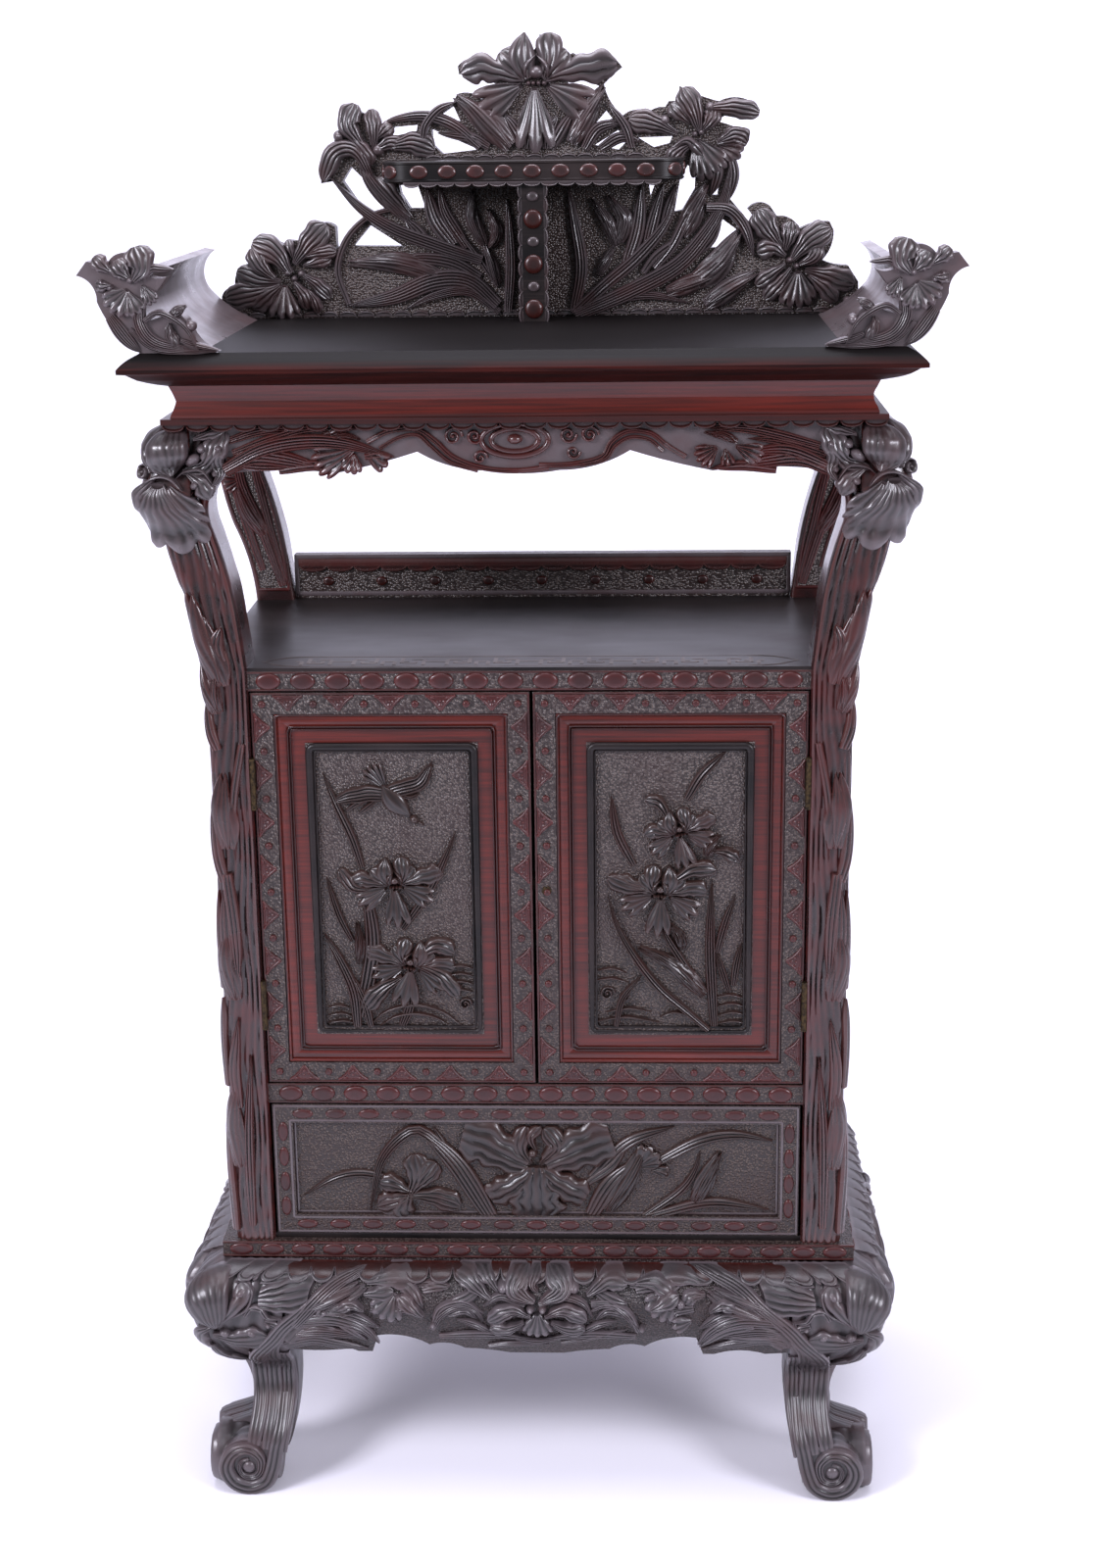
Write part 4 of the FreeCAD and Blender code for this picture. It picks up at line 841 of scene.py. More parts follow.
# A scroll seen end on: a spiral cut into its face, reeds running round its roll
def scrollRings(radius, length, spiralRise):
    count, reeds = scrolls["around"], scrolls["reeds"]
    angle = np.linspace(0, 2 * math.pi, count + 1)[:-1]
    rings = []
    for share in np.linspace(0.06, 1, 15):
        r = radius * share
        turn = np.abs(np.sin(math.pi * (r / scrolls["turnPitch"] - angle / (2 * math.pi)))) ** 0.7
        rise = spiralRise * (turn if share < 0.97 else 0.3 + 0 * turn) + 3.0 * (1 - share)
        rings.append((np.full(count, r), -rise))
    for share in np.linspace(0, 1, 4 * reeds + 1)[1:]:
        cut = scrolls["reedDepth"] * (1 - reedsOver(2 * share - 1, reeds))
        rings.append((np.full(count, radius - cut), np.full(count, length * share)))
    rings.append((np.full(count, 2.0), np.full(count, length)))
    return angle, rings


def scroll(centre, start, length, radius, spiralRise, sideways=False):
    angle, rings = scrollRings(radius, length, spiralRise)
    places = []
    for r, deep in rings:
        across = centre[0] + r * np.cos(angle)
        height = np.clip(centre[1] + r * np.sin(angle), scrolls["lowest"], None)
        places.append(np.stack([start + deep, across, height] if sideways else [across, start + deep, height], -1))
    return skin(np.array(places))


# Heights in millimetres, and where the foot's outer faces stand behind the scrolls
legShape = {"low": 38.0, "high": 336.0, "top": 339.5, "footTop": 84.0, "footSide": -386.4, "footFront": -177.9}


def makeLeg(node):
    plan, front = legShape, "front" in node
    heights = np.append(np.arange(plan["low"], plan["high"], tubes["rowStep"]), plan["top"])
    reach = leftReach(node, heights)
    low = heights < plan["footTop"]
    reach[low, 0] = plan["footSide"]
    if front:
        reach[low, 2] = plan["footFront"]
    parts = [tube(reach, heights, tubes["legCorner"])]
    centre, radius, length = scrolls["centre"], scrolls["radius"], scrolls["length"]
    if front:
        parts.append(scroll(centre, scrolls["frontFace"], length, radius, 0.0))
        parts.append(scroll((scrolls["sideCentre"], centre[1]), scrolls["sideFace"], length, radius, 0.0, True))
    else:
        parts.append(scroll(centre, scrolls["backFace"], scrolls["backLength"], radius, scrolls["spiralRise"]))
    standInFor(node, parts, "legWood")
    if front:
        carveFoot(node, reach, heights)
    return reach, heights


# The front feet, in millimetres on the front face, which the side face repeats. The shank's strands swell out over
# the scroll, and a ribbon leaves their inner edge and winds in to the scroll's eye: (degrees clockwise, radius).
footPlan = {
    "strands": [
        ([(-374, 212), (-377, 165), (-375, 118), (-383, 72)], 21, 3, 0.4),
        ([(-355, 212), (-357, 160), (-356, 115), (-364, 66)], 20, 3, 1.2),
        ([(-337, 210), (-338, 165), (-338, 120), (-346, 62)], 18, 3, 0.3)],
    "start": [(-343, 132), (-345, 100), (-351, 72)], "ribbonWidth": 21.0,
    "turns": [
        (0, 32), (45, 31), (90, 31), (135, 31), (180, 31), (225, 30), (270, 28), (315, 22), (360, 16.5), (405, 15.5),
        (450, 14.8), (495, 14), (540, 13), (585, 12.5), (630, 12)],
    "swell": {"front": (70.0, 150.0), "side": (70.0, 92.0)}, "faceDepth": 8.0,
    "inside": {"front": -165.0, "side": -374.0}, "eye": 19,
}


def carveFoot(node, reach, heights):
    plan, eye = footPlan, scrolls["centre"]
    outer = {"front": scrolls["frontFace"], "side": scrolls["sideFace"]}
    turnedFrom = eye[0] - scrolls["sideCentre"]
    spiral = [(eye[0] + radius * math.cos(math.radians(turn)), eye[1] - radius * math.sin(math.radians(turn)))
              for turn, radius in plan["turns"]]
    swell = 0.5 + 0.5 * np.cos(np.linspace(0, math.pi, 13))
    for face, column in (("front", 2), ("side", 0)):
        levels = np.linspace(*plan["swell"][face], 13)
        above = heights > levels[-1] + 8
        shank = np.interp(levels, heights[above], reach[above, column])
        stops = np.concatenate([levels, heights[above]])
        depths = np.concatenate([swell * outer[face] + (1 - swell) * shank, reach[above, column]])
        def surface(across, along, height, stops=stops, depths=depths, face=face):
            deep = np.interp(along, stops, depths) - height
            under = np.where(along > levels[0], plan["inside"][face], outer[face] + plan["faceDepth"])
            deep = np.where(height <= -1.0, under, deep)
            along = np.maximum(along, 0.5)
            return np.stack([across, deep, along] if face == "front" else [deep, -across, along], -1)
        def onFace(places):
            places = np.atleast_2d(np.array(places, float))
            return places if face == "front" else places * [-1, 1] + [turnedFrom, 0]
        carving = Carving(surface, mirrored=node.endswith("right"))
        for points, width, reeds, lift in plan["strands"]:
            carving.strip(onFace(points), width, "shank", reeds, 4.0, 1.6, lift, rows=30)
        carving.strip(onFace(plan["start"] + spiral), plan["ribbonWidth"], "volute", 3, 6.0, 1.6, 2.0, rows=110)
        carving.bead(onFace([eye])[0], plan["eye"], rise=8.0)
        carving.build(node + face.title() + "Scroll", "legWood")


# The front post's head overhangs: it is cut from its own levels, and drawn in a little behind its carving
postShape = {
    "low": 362.2, "straight": 1120.0, "top": 1433.5, "front": -200.5, "behind": -158.0,
    "headLevels": (1296.5, 1306, 1318, 1332, 1350, 1368, 1382, 1396, 1410, 1424, 1433.5),
    "headBeyond": 400, "headBefore": -150, "drawnIn": 7, "headInside": -397, "headBack": -153,
    "headReedDepth": 0.6, "headReeds": 6,
}


def makePost(node):
    plan, front = postShape, "front" in node
    heights = np.concatenate([np.arange(plan["low"], plan["straight"], tubes["straightStep"]),
                              np.arange(plan["straight"], plan["top"], tubes["rowStep"]), [plan["top"]]])
    core = leftReach(node, heights, (lambda places: places[:, 1] > plan["behind"]) if front else None)
    if not front:
        standInFor(node, [tube(core, heights, tubes["smallCorner"], 0.0)], "postWood")
        return core, heights
    core[:, 2] = plan["front"]
    levels = np.array(plan["headLevels"])
    head = leftReach(node, levels, lambda places: (np.abs(places[:, 0]) > plan["headBeyond"])
                     & (places[:, 1] < plan["headBefore"]))
    head[:, [0, 2]] += plan["drawnIn"]
    head[:, 1], head[:, 3] = plan["headInside"], plan["headBack"]
    carveHead(node, head, levels)
    standInFor(node, [tube(core, heights, tubes["corner"]), tube(head, levels, tubes["headCorner"],
                                                                 plan["headReedDepth"], plan["headReeds"])], "postWood")
    return core, heights


# Iris head at the top of each front post: a striped bud over a bell of folds, a ruffled petal with seeds at its right
headPlan = {
    "corner": (130, 410), "zoom": 8.0, "depth": -226.0, "rises": {"petal": 8.0, "bead": 15.0},
    "petals": [
        ([(200, 590), (120, 430), (250, 215)], 150, 3), ([(520, 320), (660, 270), (800, 235)], 130, 3),
        ([(430, 590), (610, 540), (690, 420), (760, 260)], 210, 4),
        ([(680, 700), (740, 600), (715, 480), (780, 350)], 120, 3), ([(470, 600), (590, 680), (668, 800)], 150, 3),
        ([(190, 650), (50, 800), (100, 1060)], 150, 3)],
    "fans": [((300, 680), -72, 92, 400, 6)], "bells": [((250, 640), 262, 96, 600, 9)],
    "stripedBuds": [([(345, 615), (320, 420), (385, 215)], 310, 6)],
    "collars": [
        ([(380, 640), (450, 585), (590, 575), (690, 690)], 30),
        ([(130, 700), (230, 625), (340, 640), (440, 740)], 34)],
    "beads": [((515, 495), 125), ((590, 395), 80), ((540, 690), 80), ((730, 390), 70), ((700, 600), 60)],
    "curl": ((95, 600), 70),
}


def carveHead(node, head, levels):
    plan = headPlan
    carving = Carving(aroundPost(head, levels, tubes["headCorner"]), mirrored=node.endswith("right"), sink=6)
    tracing = AroundTracing(plan, head, levels, tubes["headCorner"])
    addTraced(carving, tracing, plan, plan["rises"])
    place, reach = plan["curl"]
    carving.spiral(tracing.place(place), reach * tracing.scale, 1.6, 4.0, 8.0)
    carving.build(node.replace("post", "flower"), "carved")


def makeLegsAndPosts():
    around = {}
    for make, kind in ((makeLeg, "leg_"), (makePost, "post_")):
        for place in ("front_left", "front_right", "back_left", "back_right"):
            around[kind + place] = make(kind + place)
    print("legs and posts ready")
    return around


# What each kind of line, fan and curl on the plans is cut with. Plans are read in enlargements of the photograph,
# all lengths in the enlargement's pixels: leaves run from root to tip as (points, width, reeds, lift), buds as
# (points, width, twist), petals and other lines as (points, width, reeds), fans as (root, turn, spread, reach,
# reeds), beads as (place, width), ovals as (place, width, height, rise, turn, rows), curls as (place, reach, turns,
# hand) and flowers as (hood, half width in mm, turn, hand, arms, skirt).
lineCuts = {
    "leaves": {"outline": "blade", "depth": 1.3, "rows": 26},
    "petals": {"outline": "petal", "depth": 1.3, "ruffle": 0.07},
    "last": {"outline": "petal", "depth": 1.3, "lift": 4.0, "ruffle": 0.05},
    "waves": {"outline": "lens", "reeds": 1, "rise": 3.6, "depth": 0.2, "lift": 0.6, "rows": 14},
    "ribbons": {"outline": "band", "reeds": 2, "rise": 3.0, "depth": 0.9, "lift": 0.5, "rows": 40},
    "shells": {"outline": "shell", "rise": 6.0, "depth": 2.4, "lift": 2.0, "ruffle": 0.05},
    "bulbs": {"outline": "round", "rise": 14.0, "depth": 0.8, "lift": 2.0},
    "falls": {"outline": "shell", "rise": 7.0, "depth": 1.8, "lift": 1.4, "ruffle": 0.12},
    "standards": {"outline": "petal", "rise": 6.0, "depth": 1.4, "lift": 1.5},
    "stripedBuds": {"outline": "round", "rise": 15.0, "depth": 0.9, "lift": 2.0},
    "collars": {"outline": "lens", "reeds": 1, "rise": 8.0, "depth": 0.3, "lift": 5.0, "rows": 14},
    "wings": {"outline": "blade", "rise": 3.6, "depth": 1.2, "lift": 0.5, "ruffle": 0.05},
    "feathers": {"outline": "leaf", "reeds": 2, "rise": 3.0, "depth": 0.8},
    "bodies": {"outline": "lens", "reeds": 3, "rise": 6.0, "depth": 0.5},
    "beaks": {"outline": "leaf", "reeds": 1, "rise": 4.0, "depth": 0.2, "rows": 7},
}
fanCuts = {
    "fans": {"depth": 1.5, "lift": 2.0, "ruffle": 0.06},
    "tails": {"rise": 3.0, "depth": 1.0, "sharp": True},
    "bells": {"rise": 13.0, "depth": 1.9, "lift": 1.0, "lobes": 4, "ruffle": 0.07, "sides": 0.3},
}
curlCuts = {"curls": (12, 3.2), "spirals": (15, 4.0)}


# Everything on a plan, with the rises in millimetres that its leaves, buds, petals and beads have
def addTraced(carving, tracing, plan, rises):
    size, rises = tracing.scale, {**rises, **plan.get("rises", {})}
    for kind, cut in lineCuts.items():
        for number, (points, width, *more) in enumerate(plan.get(kind, [])):
            values = {**dict(zip(("reeds", "lift"), more)), **cut}
            if kind in ("leaves", "petals", "last"):
                values["rise"] = rises["leaf" if kind == "leaves" else "petal"]
            if kind == "petals":
                values["lift"] = 1.0 + 0.35 * number
            carving.strip(tracing.at(points), width * size, **values)
    for points, width, twist in plan.get("buds", []):
        carving.bud(tracing.at(points), width * size, rises["bud"], 1.5, twist)
    for kind, cut in fanCuts.items():
        for root, turn, spread, reach, reeds in plan.get(kind, []):
            values = {"rise": rises["petal"], "lobes": reeds, **cut}
            carving.fan(tracing.place(root), turn, spread, reach * size, reeds, **values)
    for hood, half, turn, hand, arms, skirt in plan.get("flowers", []):
        carving.iris(tracing.place(hood), half, turn, hand, arms, skirt, 1.5)
    for place, width in plan.get("beads", []):
        carving.bead(tracing.place(place), width * size, rise=rises["bead"])
    for place, width, height, rise, turn, rows in plan.get("ovals", []):
        carving.bead(tracing.place(place), width * size, height * size, rise, turn=turn, rows=rows)
    for kind, (width, rise) in curlCuts.items():
        for place, reach, turns, hand in plan.get(kind, []):
            carving.spiral(tracing.place(place), reach * size, turns, width * size, rise, hand)
    for place, wide, tall in plan.get("rings", []):
        angle = np.linspace(0, 2 * math.pi, 37)
        ring = np.stack([place[0] + wide * np.cos(angle), place[1] + tall * np.sin(angle)], -1)
        carving.strip(tracing.at(ring), 26 * size, "band", 1, 4.0, 0.3, rows=60)


# One carved piece on an upright front, from the plans that belong to it
def carveFlat(name, plans, depth, rises, material, body="cabinet", relief=1.0, sink=2.0, mirrored=False):
    carving = Carving(frontAt(depth), relief, sink, mirrored)
    for plan in plans:
        addTraced(carving, Tracing(plan["corner"], plan["zoom"], depth), plan, rises)
    carving.build(name, material, body)


# Pierced crest: iris clumps laid over the board, then the open flowers, each read in its own enlargement

crestLeft = {
    "corner": (215, 30), "zoom": 4.545,
    "leaves": [
        ([(1250, 1150), (1120, 1080), (960, 1060), (850, 1080)], 60, 4, 0),
        ([(1340, 1310), (1200, 1215), (1040, 1235), (900, 1300)], 46, 5, 1),
        ([(1330, 1280), (1200, 1170), (1040, 1165), (850, 1240), (640, 1282)], 88, 6, 2),
        ([(640, 1275), (590, 1110), (650, 945), (790, 845), (985, 842)], 32, 2, 0),
        ([(1125, 1000), (1040, 880), (1000, 725)], 72, 4, 2),
        ([(1260, 1070), (1050, 1000), (850, 925), (700, 830), (560, 690)], 62, 5, 5),
        ([(1380, 1310), (1392, 1100), (1382, 900), (1374, 785)], 50, 4, 2),
        ([(1330, 1190), (1230, 1040), (1130, 915)], 26, 2, 1), ([(1010, 1000), (960, 940), (900, 875)], 60, 4, 2),
        ([(1250, 545), (1130, 445), (1000, 402), (860, 415), (785, 445)], 52, 4, 2),
        ([(985, 510), (1000, 440), (1060, 370), (1140, 335)], 42, 3, 4),
        ([(1400, 530), (1330, 430), (1270, 370)], 50, 3, 1), ([(1440, 545), (1420, 480), (1360, 390)], 60, 4, 0),
        ([(1290, 545), (1200, 500), (1050, 480)], 50, 4, 0), ([(1190, 1010), (1090, 850), (1060, 720)], 54, 4, 0)],
    "buds": [
        ([(1390, 545), (1290, 430), (1210, 350), (1140, 300)], 120, 0.5),
        ([(1060, 1140), (900, 1085), (760, 1070), (635, 1075)], 96, 0.9),
        ([(920, 880), (830, 790), (750, 700), (700, 600)], 84, 0.5),
        ([(1330, 1180), (1300, 1070), (1270, 985)], 56, 0.3), ([(1300, 1010), (1330, 930), (1290, 830)], 56, 0.9),
        ([(1270, 1000), (1215, 870), (1228, 735)], 66, -0.9)],
}
crestRight = {
    "corner": (530, 30), "zoom": 4.356,
    "leaves": [
        ([(240, 1260), (275, 1060), (245, 850), (212, 690)], 56, 4, 1),
        ([(470, 1060), (525, 890), (545, 685)], 62, 4, 1), ([(560, 990), (600, 830), (640, 685)], 54, 4, 0),
        ([(640, 870), (670, 770), (700, 685)], 42, 3, 1),
        ([(240, 1262), (380, 1135), (520, 1015), (650, 860), (700, 700)], 58, 4, 3),
        ([(250, 1268), (500, 1160), (700, 1050), (820, 920), (905, 770), (950, 560)], 74, 6, 4),
        ([(600, 1060), (680, 960), (740, 840), (830, 690)], 44, 3, 2),
        ([(830, 790), (930, 800), (1000, 880), (1040, 1010)], 52, 4, 5),
        ([(140, 530), (190, 440), (240, 360)], 50, 3, 0), ([(290, 530), (350, 440), (460, 412)], 52, 4, 2),
        ([(500, 525), (470, 430), (395, 330)], 40, 3, 3),
        ([(250, 1255), (340, 1220), (560, 1180), (760, 1215)], 44, 4, 1),
        ([(550, 1080), (610, 1000), (730, 915)], 36, 2, 2), ([(30, 530), (40, 440), (60, 350)], 60, 4, 0),
        ([(120, 530), (130, 450), (170, 380)], 56, 4, 0), ([(360, 530), (450, 480), (540, 500)], 50, 4, 0),
        ([(760, 1010), (850, 930), (900, 800)], 48, 3, 1), ([(870, 560), (880, 640), (850, 740)], 52, 3, 1),
        ([(940, 560), (955, 650), (930, 760)], 44, 3, 2)],
    "buds": [
        ([(720, 915), (780, 800), (840, 690)], 92, 0.5), ([(230, 505), (310, 370), (385, 255)], 88, 0.6),
        ([(770, 1130), (890, 1040), (990, 900)], 118, 0.9), ([(655, 1165), (760, 1130), (880, 1090)], 84, 0.3),
        ([(825, 1225), (940, 1150), (1060, 1085)], 92, 0.3), ([(350, 1090), (385, 1030), (430, 960)], 48, 0.2),
        ([(430, 960), (390, 850), (325, 750)], 62, -0.9), ([(440, 950), (470, 840), (400, 735)], 74, 0.9)],
    "flowers": [((65, 190), 99, 0, 1, 1.0, 1.0)],
}
crestFlowers = [
    {"corner": (240, 60), "zoom": 6.533,
     "petals": [
         ([(1170, 1050), (1050, 930), (940, 800)], 150, 4), ([(1010, 590), (1180, 560), (1330, 610)], 160, 5),
         ([(930, 610), (1040, 560), (1110, 590)], 110, 4), ([(950, 530), (1000, 480), (1050, 445)], 100, 3),
         ([(930, 610), (925, 470), (905, 335)], 110, 4), ([(760, 500), (870, 620), (905, 710)], 100, 3),
         ([(930, 830), (830, 640), (740, 595), (650, 650), (590, 810)], 130, 4),
         ([(860, 590), (755, 440), (800, 300)], 150, 4)],
     "beads": [((690, 515), 76), ((955, 605), 86), ((820, 560), 60)]},
    {"corner": (640, 60), "zoom": 6.533,
     "petals": [
         ([(520, 330), (700, 325), (880, 360)], 130, 4), ([(330, 500), (190, 435), (10, 400)], 160, 5),
         ([(420, 430), (340, 360), (290, 300)], 110, 3), ([(500, 480), (560, 400), (580, 330)], 120, 4),
         ([(430, 560), (340, 620), (280, 700)], 120, 4), ([(600, 560), (720, 520), (800, 560)], 150, 5)],
     "fans": [((450, 520), -62, 78, 280, 6), ((610, 580), 4, 130, 160, 6)],
     "last": [([(480, 480), (435, 330), (365, 195)], 160, 5), ([(300, 590), (400, 545), (500, 640)], 70, 2)],
     "beads": [((250, 410), 70), ((550, 320), 66), ((450, 500), 44), ((490, 490), 44)]},
    {"corner": (225, 215), "zoom": 10.0,
     "petals": [
         ([(600, 760), (400, 830), (60, 900)], 270, 5), ([(620, 720), (400, 700), (170, 620)], 220, 4),
         ([(620, 760), (480, 860), (330, 980)], 230, 4), ([(820, 640), (980, 740), (1120, 890)], 150, 4),
         ([(850, 560), (1000, 520), (1130, 480)], 150, 3), ([(840, 470), (1000, 430), (1190, 410)], 150, 4),
         ([(760, 540), (900, 340), (1080, 140)], 270, 5), ([(750, 480), (720, 380), (690, 290)], 90, 2),
         ([(560, 690), (420, 560), (320, 380)], 200, 4), ([(760, 720), (860, 860), (900, 1000)], 150, 3),
         ([(900, 800), (970, 900), (1010, 1040)], 110, 3)],
     "fans": [((660, 730), -98, 84, 350, 5)], "last": [([(720, 640), (560, 430), (330, 330)], 280, 5)],
     "beads": [((690, 630), 80), ((830, 640), 80), ((760, 690), 70)]},
    {"corner": (745, 205), "zoom": 10.0,
     "petals": [
         ([(760, 700), (1000, 760), (1260, 850)], 240, 4), ([(620, 680), (480, 860), (350, 1000)], 170, 3),
         ([(560, 640), (420, 740), (260, 860)], 160, 3), ([(560, 560), (430, 480), (270, 520)], 200, 3),
         ([(520, 470), (370, 270), (270, 90)], 260, 5), ([(560, 500), (600, 350), (625, 210)], 190, 4),
         ([(800, 760), (950, 880), (1080, 1020)], 180, 3)],
     "fans": [((690, 690), -94, 92, 370, 6)],
     "last": [([(620, 600), (800, 400), (1020, 280)], 270, 5), ([(700, 650), (850, 560), (890, 420)], 170, 4)],
     "beads": [((605, 600), 76), ((675, 660), 70), ((1190, 1010), 90)]},
]
crestSettings = {"depth": 199.5, "relief": 1.25, "rises": {"leaf": 5.5, "bud": 7.5, "petal": 7.0, "bead": 11.0}}


def makeCrest():
    for name, plans in (("crestIrisesLeft", [crestLeft]), ("crestIrisesRight", [crestRight]),
                        ("crestOpenFlowers", crestFlowers)):
        carveFlat(name, plans, crestSettings["depth"], crestSettings["rises"], "carved",
                  relief=crestSettings["relief"])
    print("crest ready")


leftDoorPlan = {
    "corner": (300, 750), "zoom": 5.06,
    "leaves": [
        ([(350, 680), (300, 530), (215, 350), (148, 195)], 46, 3, 0),
        ([(560, 1000), (700, 800), (785, 620), (835, 495)], 46, 3, 0),
        ([(300, 1060), (230, 920), (168, 730)], 40, 3, 0),
        ([(330, 1500), (310, 1320), (240, 1160), (158, 1020)], 60, 4, 1),
        ([(345, 1450), (405, 1130), (390, 900), (345, 720)], 86, 4, 0),
        ([(560, 1500), (600, 1380), (590, 1240)], 56, 4, 0), ([(400, 1500), (370, 1380), (300, 1230)], 44, 3, 1)],
    "buds": [([(340, 1175), (345, 1060), (330, 960)], 56, 0.4)],
    "flowers": [((515, 745), 61, 4, 1, 0.95, 1.0), ((610, 1165), 60, -10, -1, 0.95, 1.1)],
    "petals": [
        ([(400, 790), (310, 780), (235, 690)], 74, 3), ([(620, 1140), (740, 1080), (825, 1120)], 96, 3),
        ([(560, 1240), (450, 1310), (365, 1410)], 110, 4), ([(640, 1180), (760, 1230), (850, 1345)], 90, 3)],
    "waves": [
        ([(790, 1195), (860, 1185), (925, 1200)], 13.6), ([(800, 1235), (865, 1225), (925, 1240)], 13.6),
        ([(790, 1275), (860, 1265), (925, 1280)], 13.6), ([(780, 1315), (850, 1305), (925, 1322)], 13.6),
        ([(395, 1490), (480, 1420), (620, 1388), (760, 1420), (865, 1495)], 20.4),
        ([(440, 1500), (520, 1450), (620, 1432), (730, 1452), (810, 1500)], 17.0),
        ([(180, 1400), (240, 1390), (290, 1405)], 13.6), ([(180, 1440), (250, 1430), (300, 1445)], 13.6),
        ([(180, 1478), (260, 1468), (320, 1482)], 13.6)],
    "curls": [((885, 1385), 34, 1.6, 1)],
}
rightDoorPlan = {
    "corner": (590, 750), "zoom": 5.06,
    "leaves": [
        ([(560, 330), (640, 200), (765, 80)], 50, 3, 0), ([(285, 670), (200, 500), (168, 305)], 50, 3, 0),
        ([(700, 1500), (680, 1100), (690, 745)], 58, 4, 0), ([(715, 1120), (760, 960), (812, 825)], 44, 3, 0),
        ([(800, 1290), (815, 1180), (842, 1070)], 40, 3, 0), ([(775, 1320), (740, 1210), (708, 1105)], 40, 3, 0),
        ([(640, 1320), (470, 1060), (400, 925)], 44, 3, 1),
        ([(670, 1515), (560, 1420), (420, 1300), (300, 1150), (200, 980), (152, 825)], 42, 3, 3),
        ([(195, 1495), (230, 1350), (325, 1240)], 36, 3, 2)],
    "buds": [
        ([(540, 1100), (520, 1030), (480, 965)], 62, 0.5),
        ([(650, 1335), (500, 1185), (400, 1120), (318, 1085)], 96, 0.9),
        ([(660, 620), (690, 560), (735, 515)], 66, 0.4)],
    "flowers": [((515, 480), 52, 12, 1, 0.85, 1.0), ((430, 790), 62, -4, -1, 0.95, 1.0)],
    "petals": [
        ([(470, 440), (420, 350), (345, 330)], 70, 3), ([(390, 790), (260, 780), (150, 735)], 92, 3),
        ([(470, 760), (590, 690), (710, 690)], 92, 3), ([(690, 590), (760, 600), (825, 640)], 70, 3)],
    "waves": [
        ([(100, 1210), (180, 1200), (250, 1225)], 13.6), ([(90, 1260), (180, 1250), (260, 1275)], 13.6),
        ([(100, 1470), (250, 1450), (420, 1480)], 15.3), ([(140, 1425), (260, 1405), (380, 1425)], 15.3),
        ([(420, 1450), (500, 1425), (590, 1450)], 15.3), ([(700, 1350), (780, 1335), (850, 1352)], 13.6),
        ([(710, 1395), (790, 1380), (860, 1397)], 13.6), ([(720, 1440), (800, 1425), (865, 1442)], 13.6),
        ([(720, 1482), (800, 1470), (865, 1484)], 13.6)],
    "curls": [((150, 1330), 40, 1.7, 1), ((235, 1345), 26, 1.4, -1)],
}
drawerPlan = {
    "corner": (280, 1120), "zoom": 2.904,
    "leaves": [
        ([(350, 240), (260, 222), (180, 235), (88, 288)], 26, 3, 0),
        ([(650, 348), (560, 220), (470, 120), (405, 95), (320, 180), (285, 332)], 36, 4, 1),
        ([(640, 348), (545, 200), (430, 84)], 60, 5, 2), ([(540, 200), (500, 130), (470, 84)], 22, 2, 0),
        ([(940, 235), (1050, 130), (1185, 84)], 38, 3, 0), ([(940, 345), (990, 260), (1065, 185)], 54, 4, 1),
        ([(1130, 192), (1260, 125), (1370, 108), (1475, 126)], 34, 3, 1),
        ([(1095, 350), (1200, 275), (1245, 215), (1262, 155)], 26, 3, 0),
        ([(1110, 350), (1290, 308), (1465, 330)], 32, 3, 1), ([(930, 250), (1000, 200), (1050, 130)], 30, 2, 0)],
    "buds": [([(1245, 305), (1280, 240), (1325, 160)], 54, 0.8), ([(985, 330), (1060, 220), (1100, 140)], 62, 0.4)],
    "fans": [((1075, 205), 48, 96, 74, 4), ((1110, 210), -5, 50, 56, 2)],
    "petals": [
        ([(400, 290), (425, 230), (415, 165)], 76, 4), ([(410, 270), (450, 225), (480, 190)], 70, 4),
        ([(415, 285), (360, 305), (310, 322)], 80, 4), ([(405, 285), (480, 290), (550, 318)], 70, 4),
        ([(400, 280), (385, 325), (395, 352)], 70, 3), ([(400, 270), (355, 250), (315, 248)], 60, 3)],
    "beads": [((405, 272), 16)],
}
# The drawer's middle flower is wider than the rest: two shells, ears with beads, a dark throat and a skirt
drawerFlower = {
    "corner": (280, 1120), "zoom": 2.904, "rises": {"bead": 9.0},
    "falls": [
        ([(747, 196), (683, 162), (623, 129), (556, 112)], 136, 4),
        ([(806, 193), (870, 162), (930, 136), (998, 116)], 136, 4), ([(763, 212), (710, 250), (640, 292)], 84, 3),
        ([(793, 212), (850, 250), (922, 292)], 84, 3), ([(777, 200), (776, 262), (779, 348)], 156, 5)],
    "standards": [
        ([(760, 190), (728, 140), (745, 82)], 56, 3), ([(790, 190), (840, 140), (800, 86)], 62, 4),
        ([(775, 150), (760, 110), (790, 84)], 36, 2)],
    "beads": [((670, 142), 26), ((872, 136), 26), ((766, 216), 16), ((795, 213), 16), ((765, 160), 30)],
}
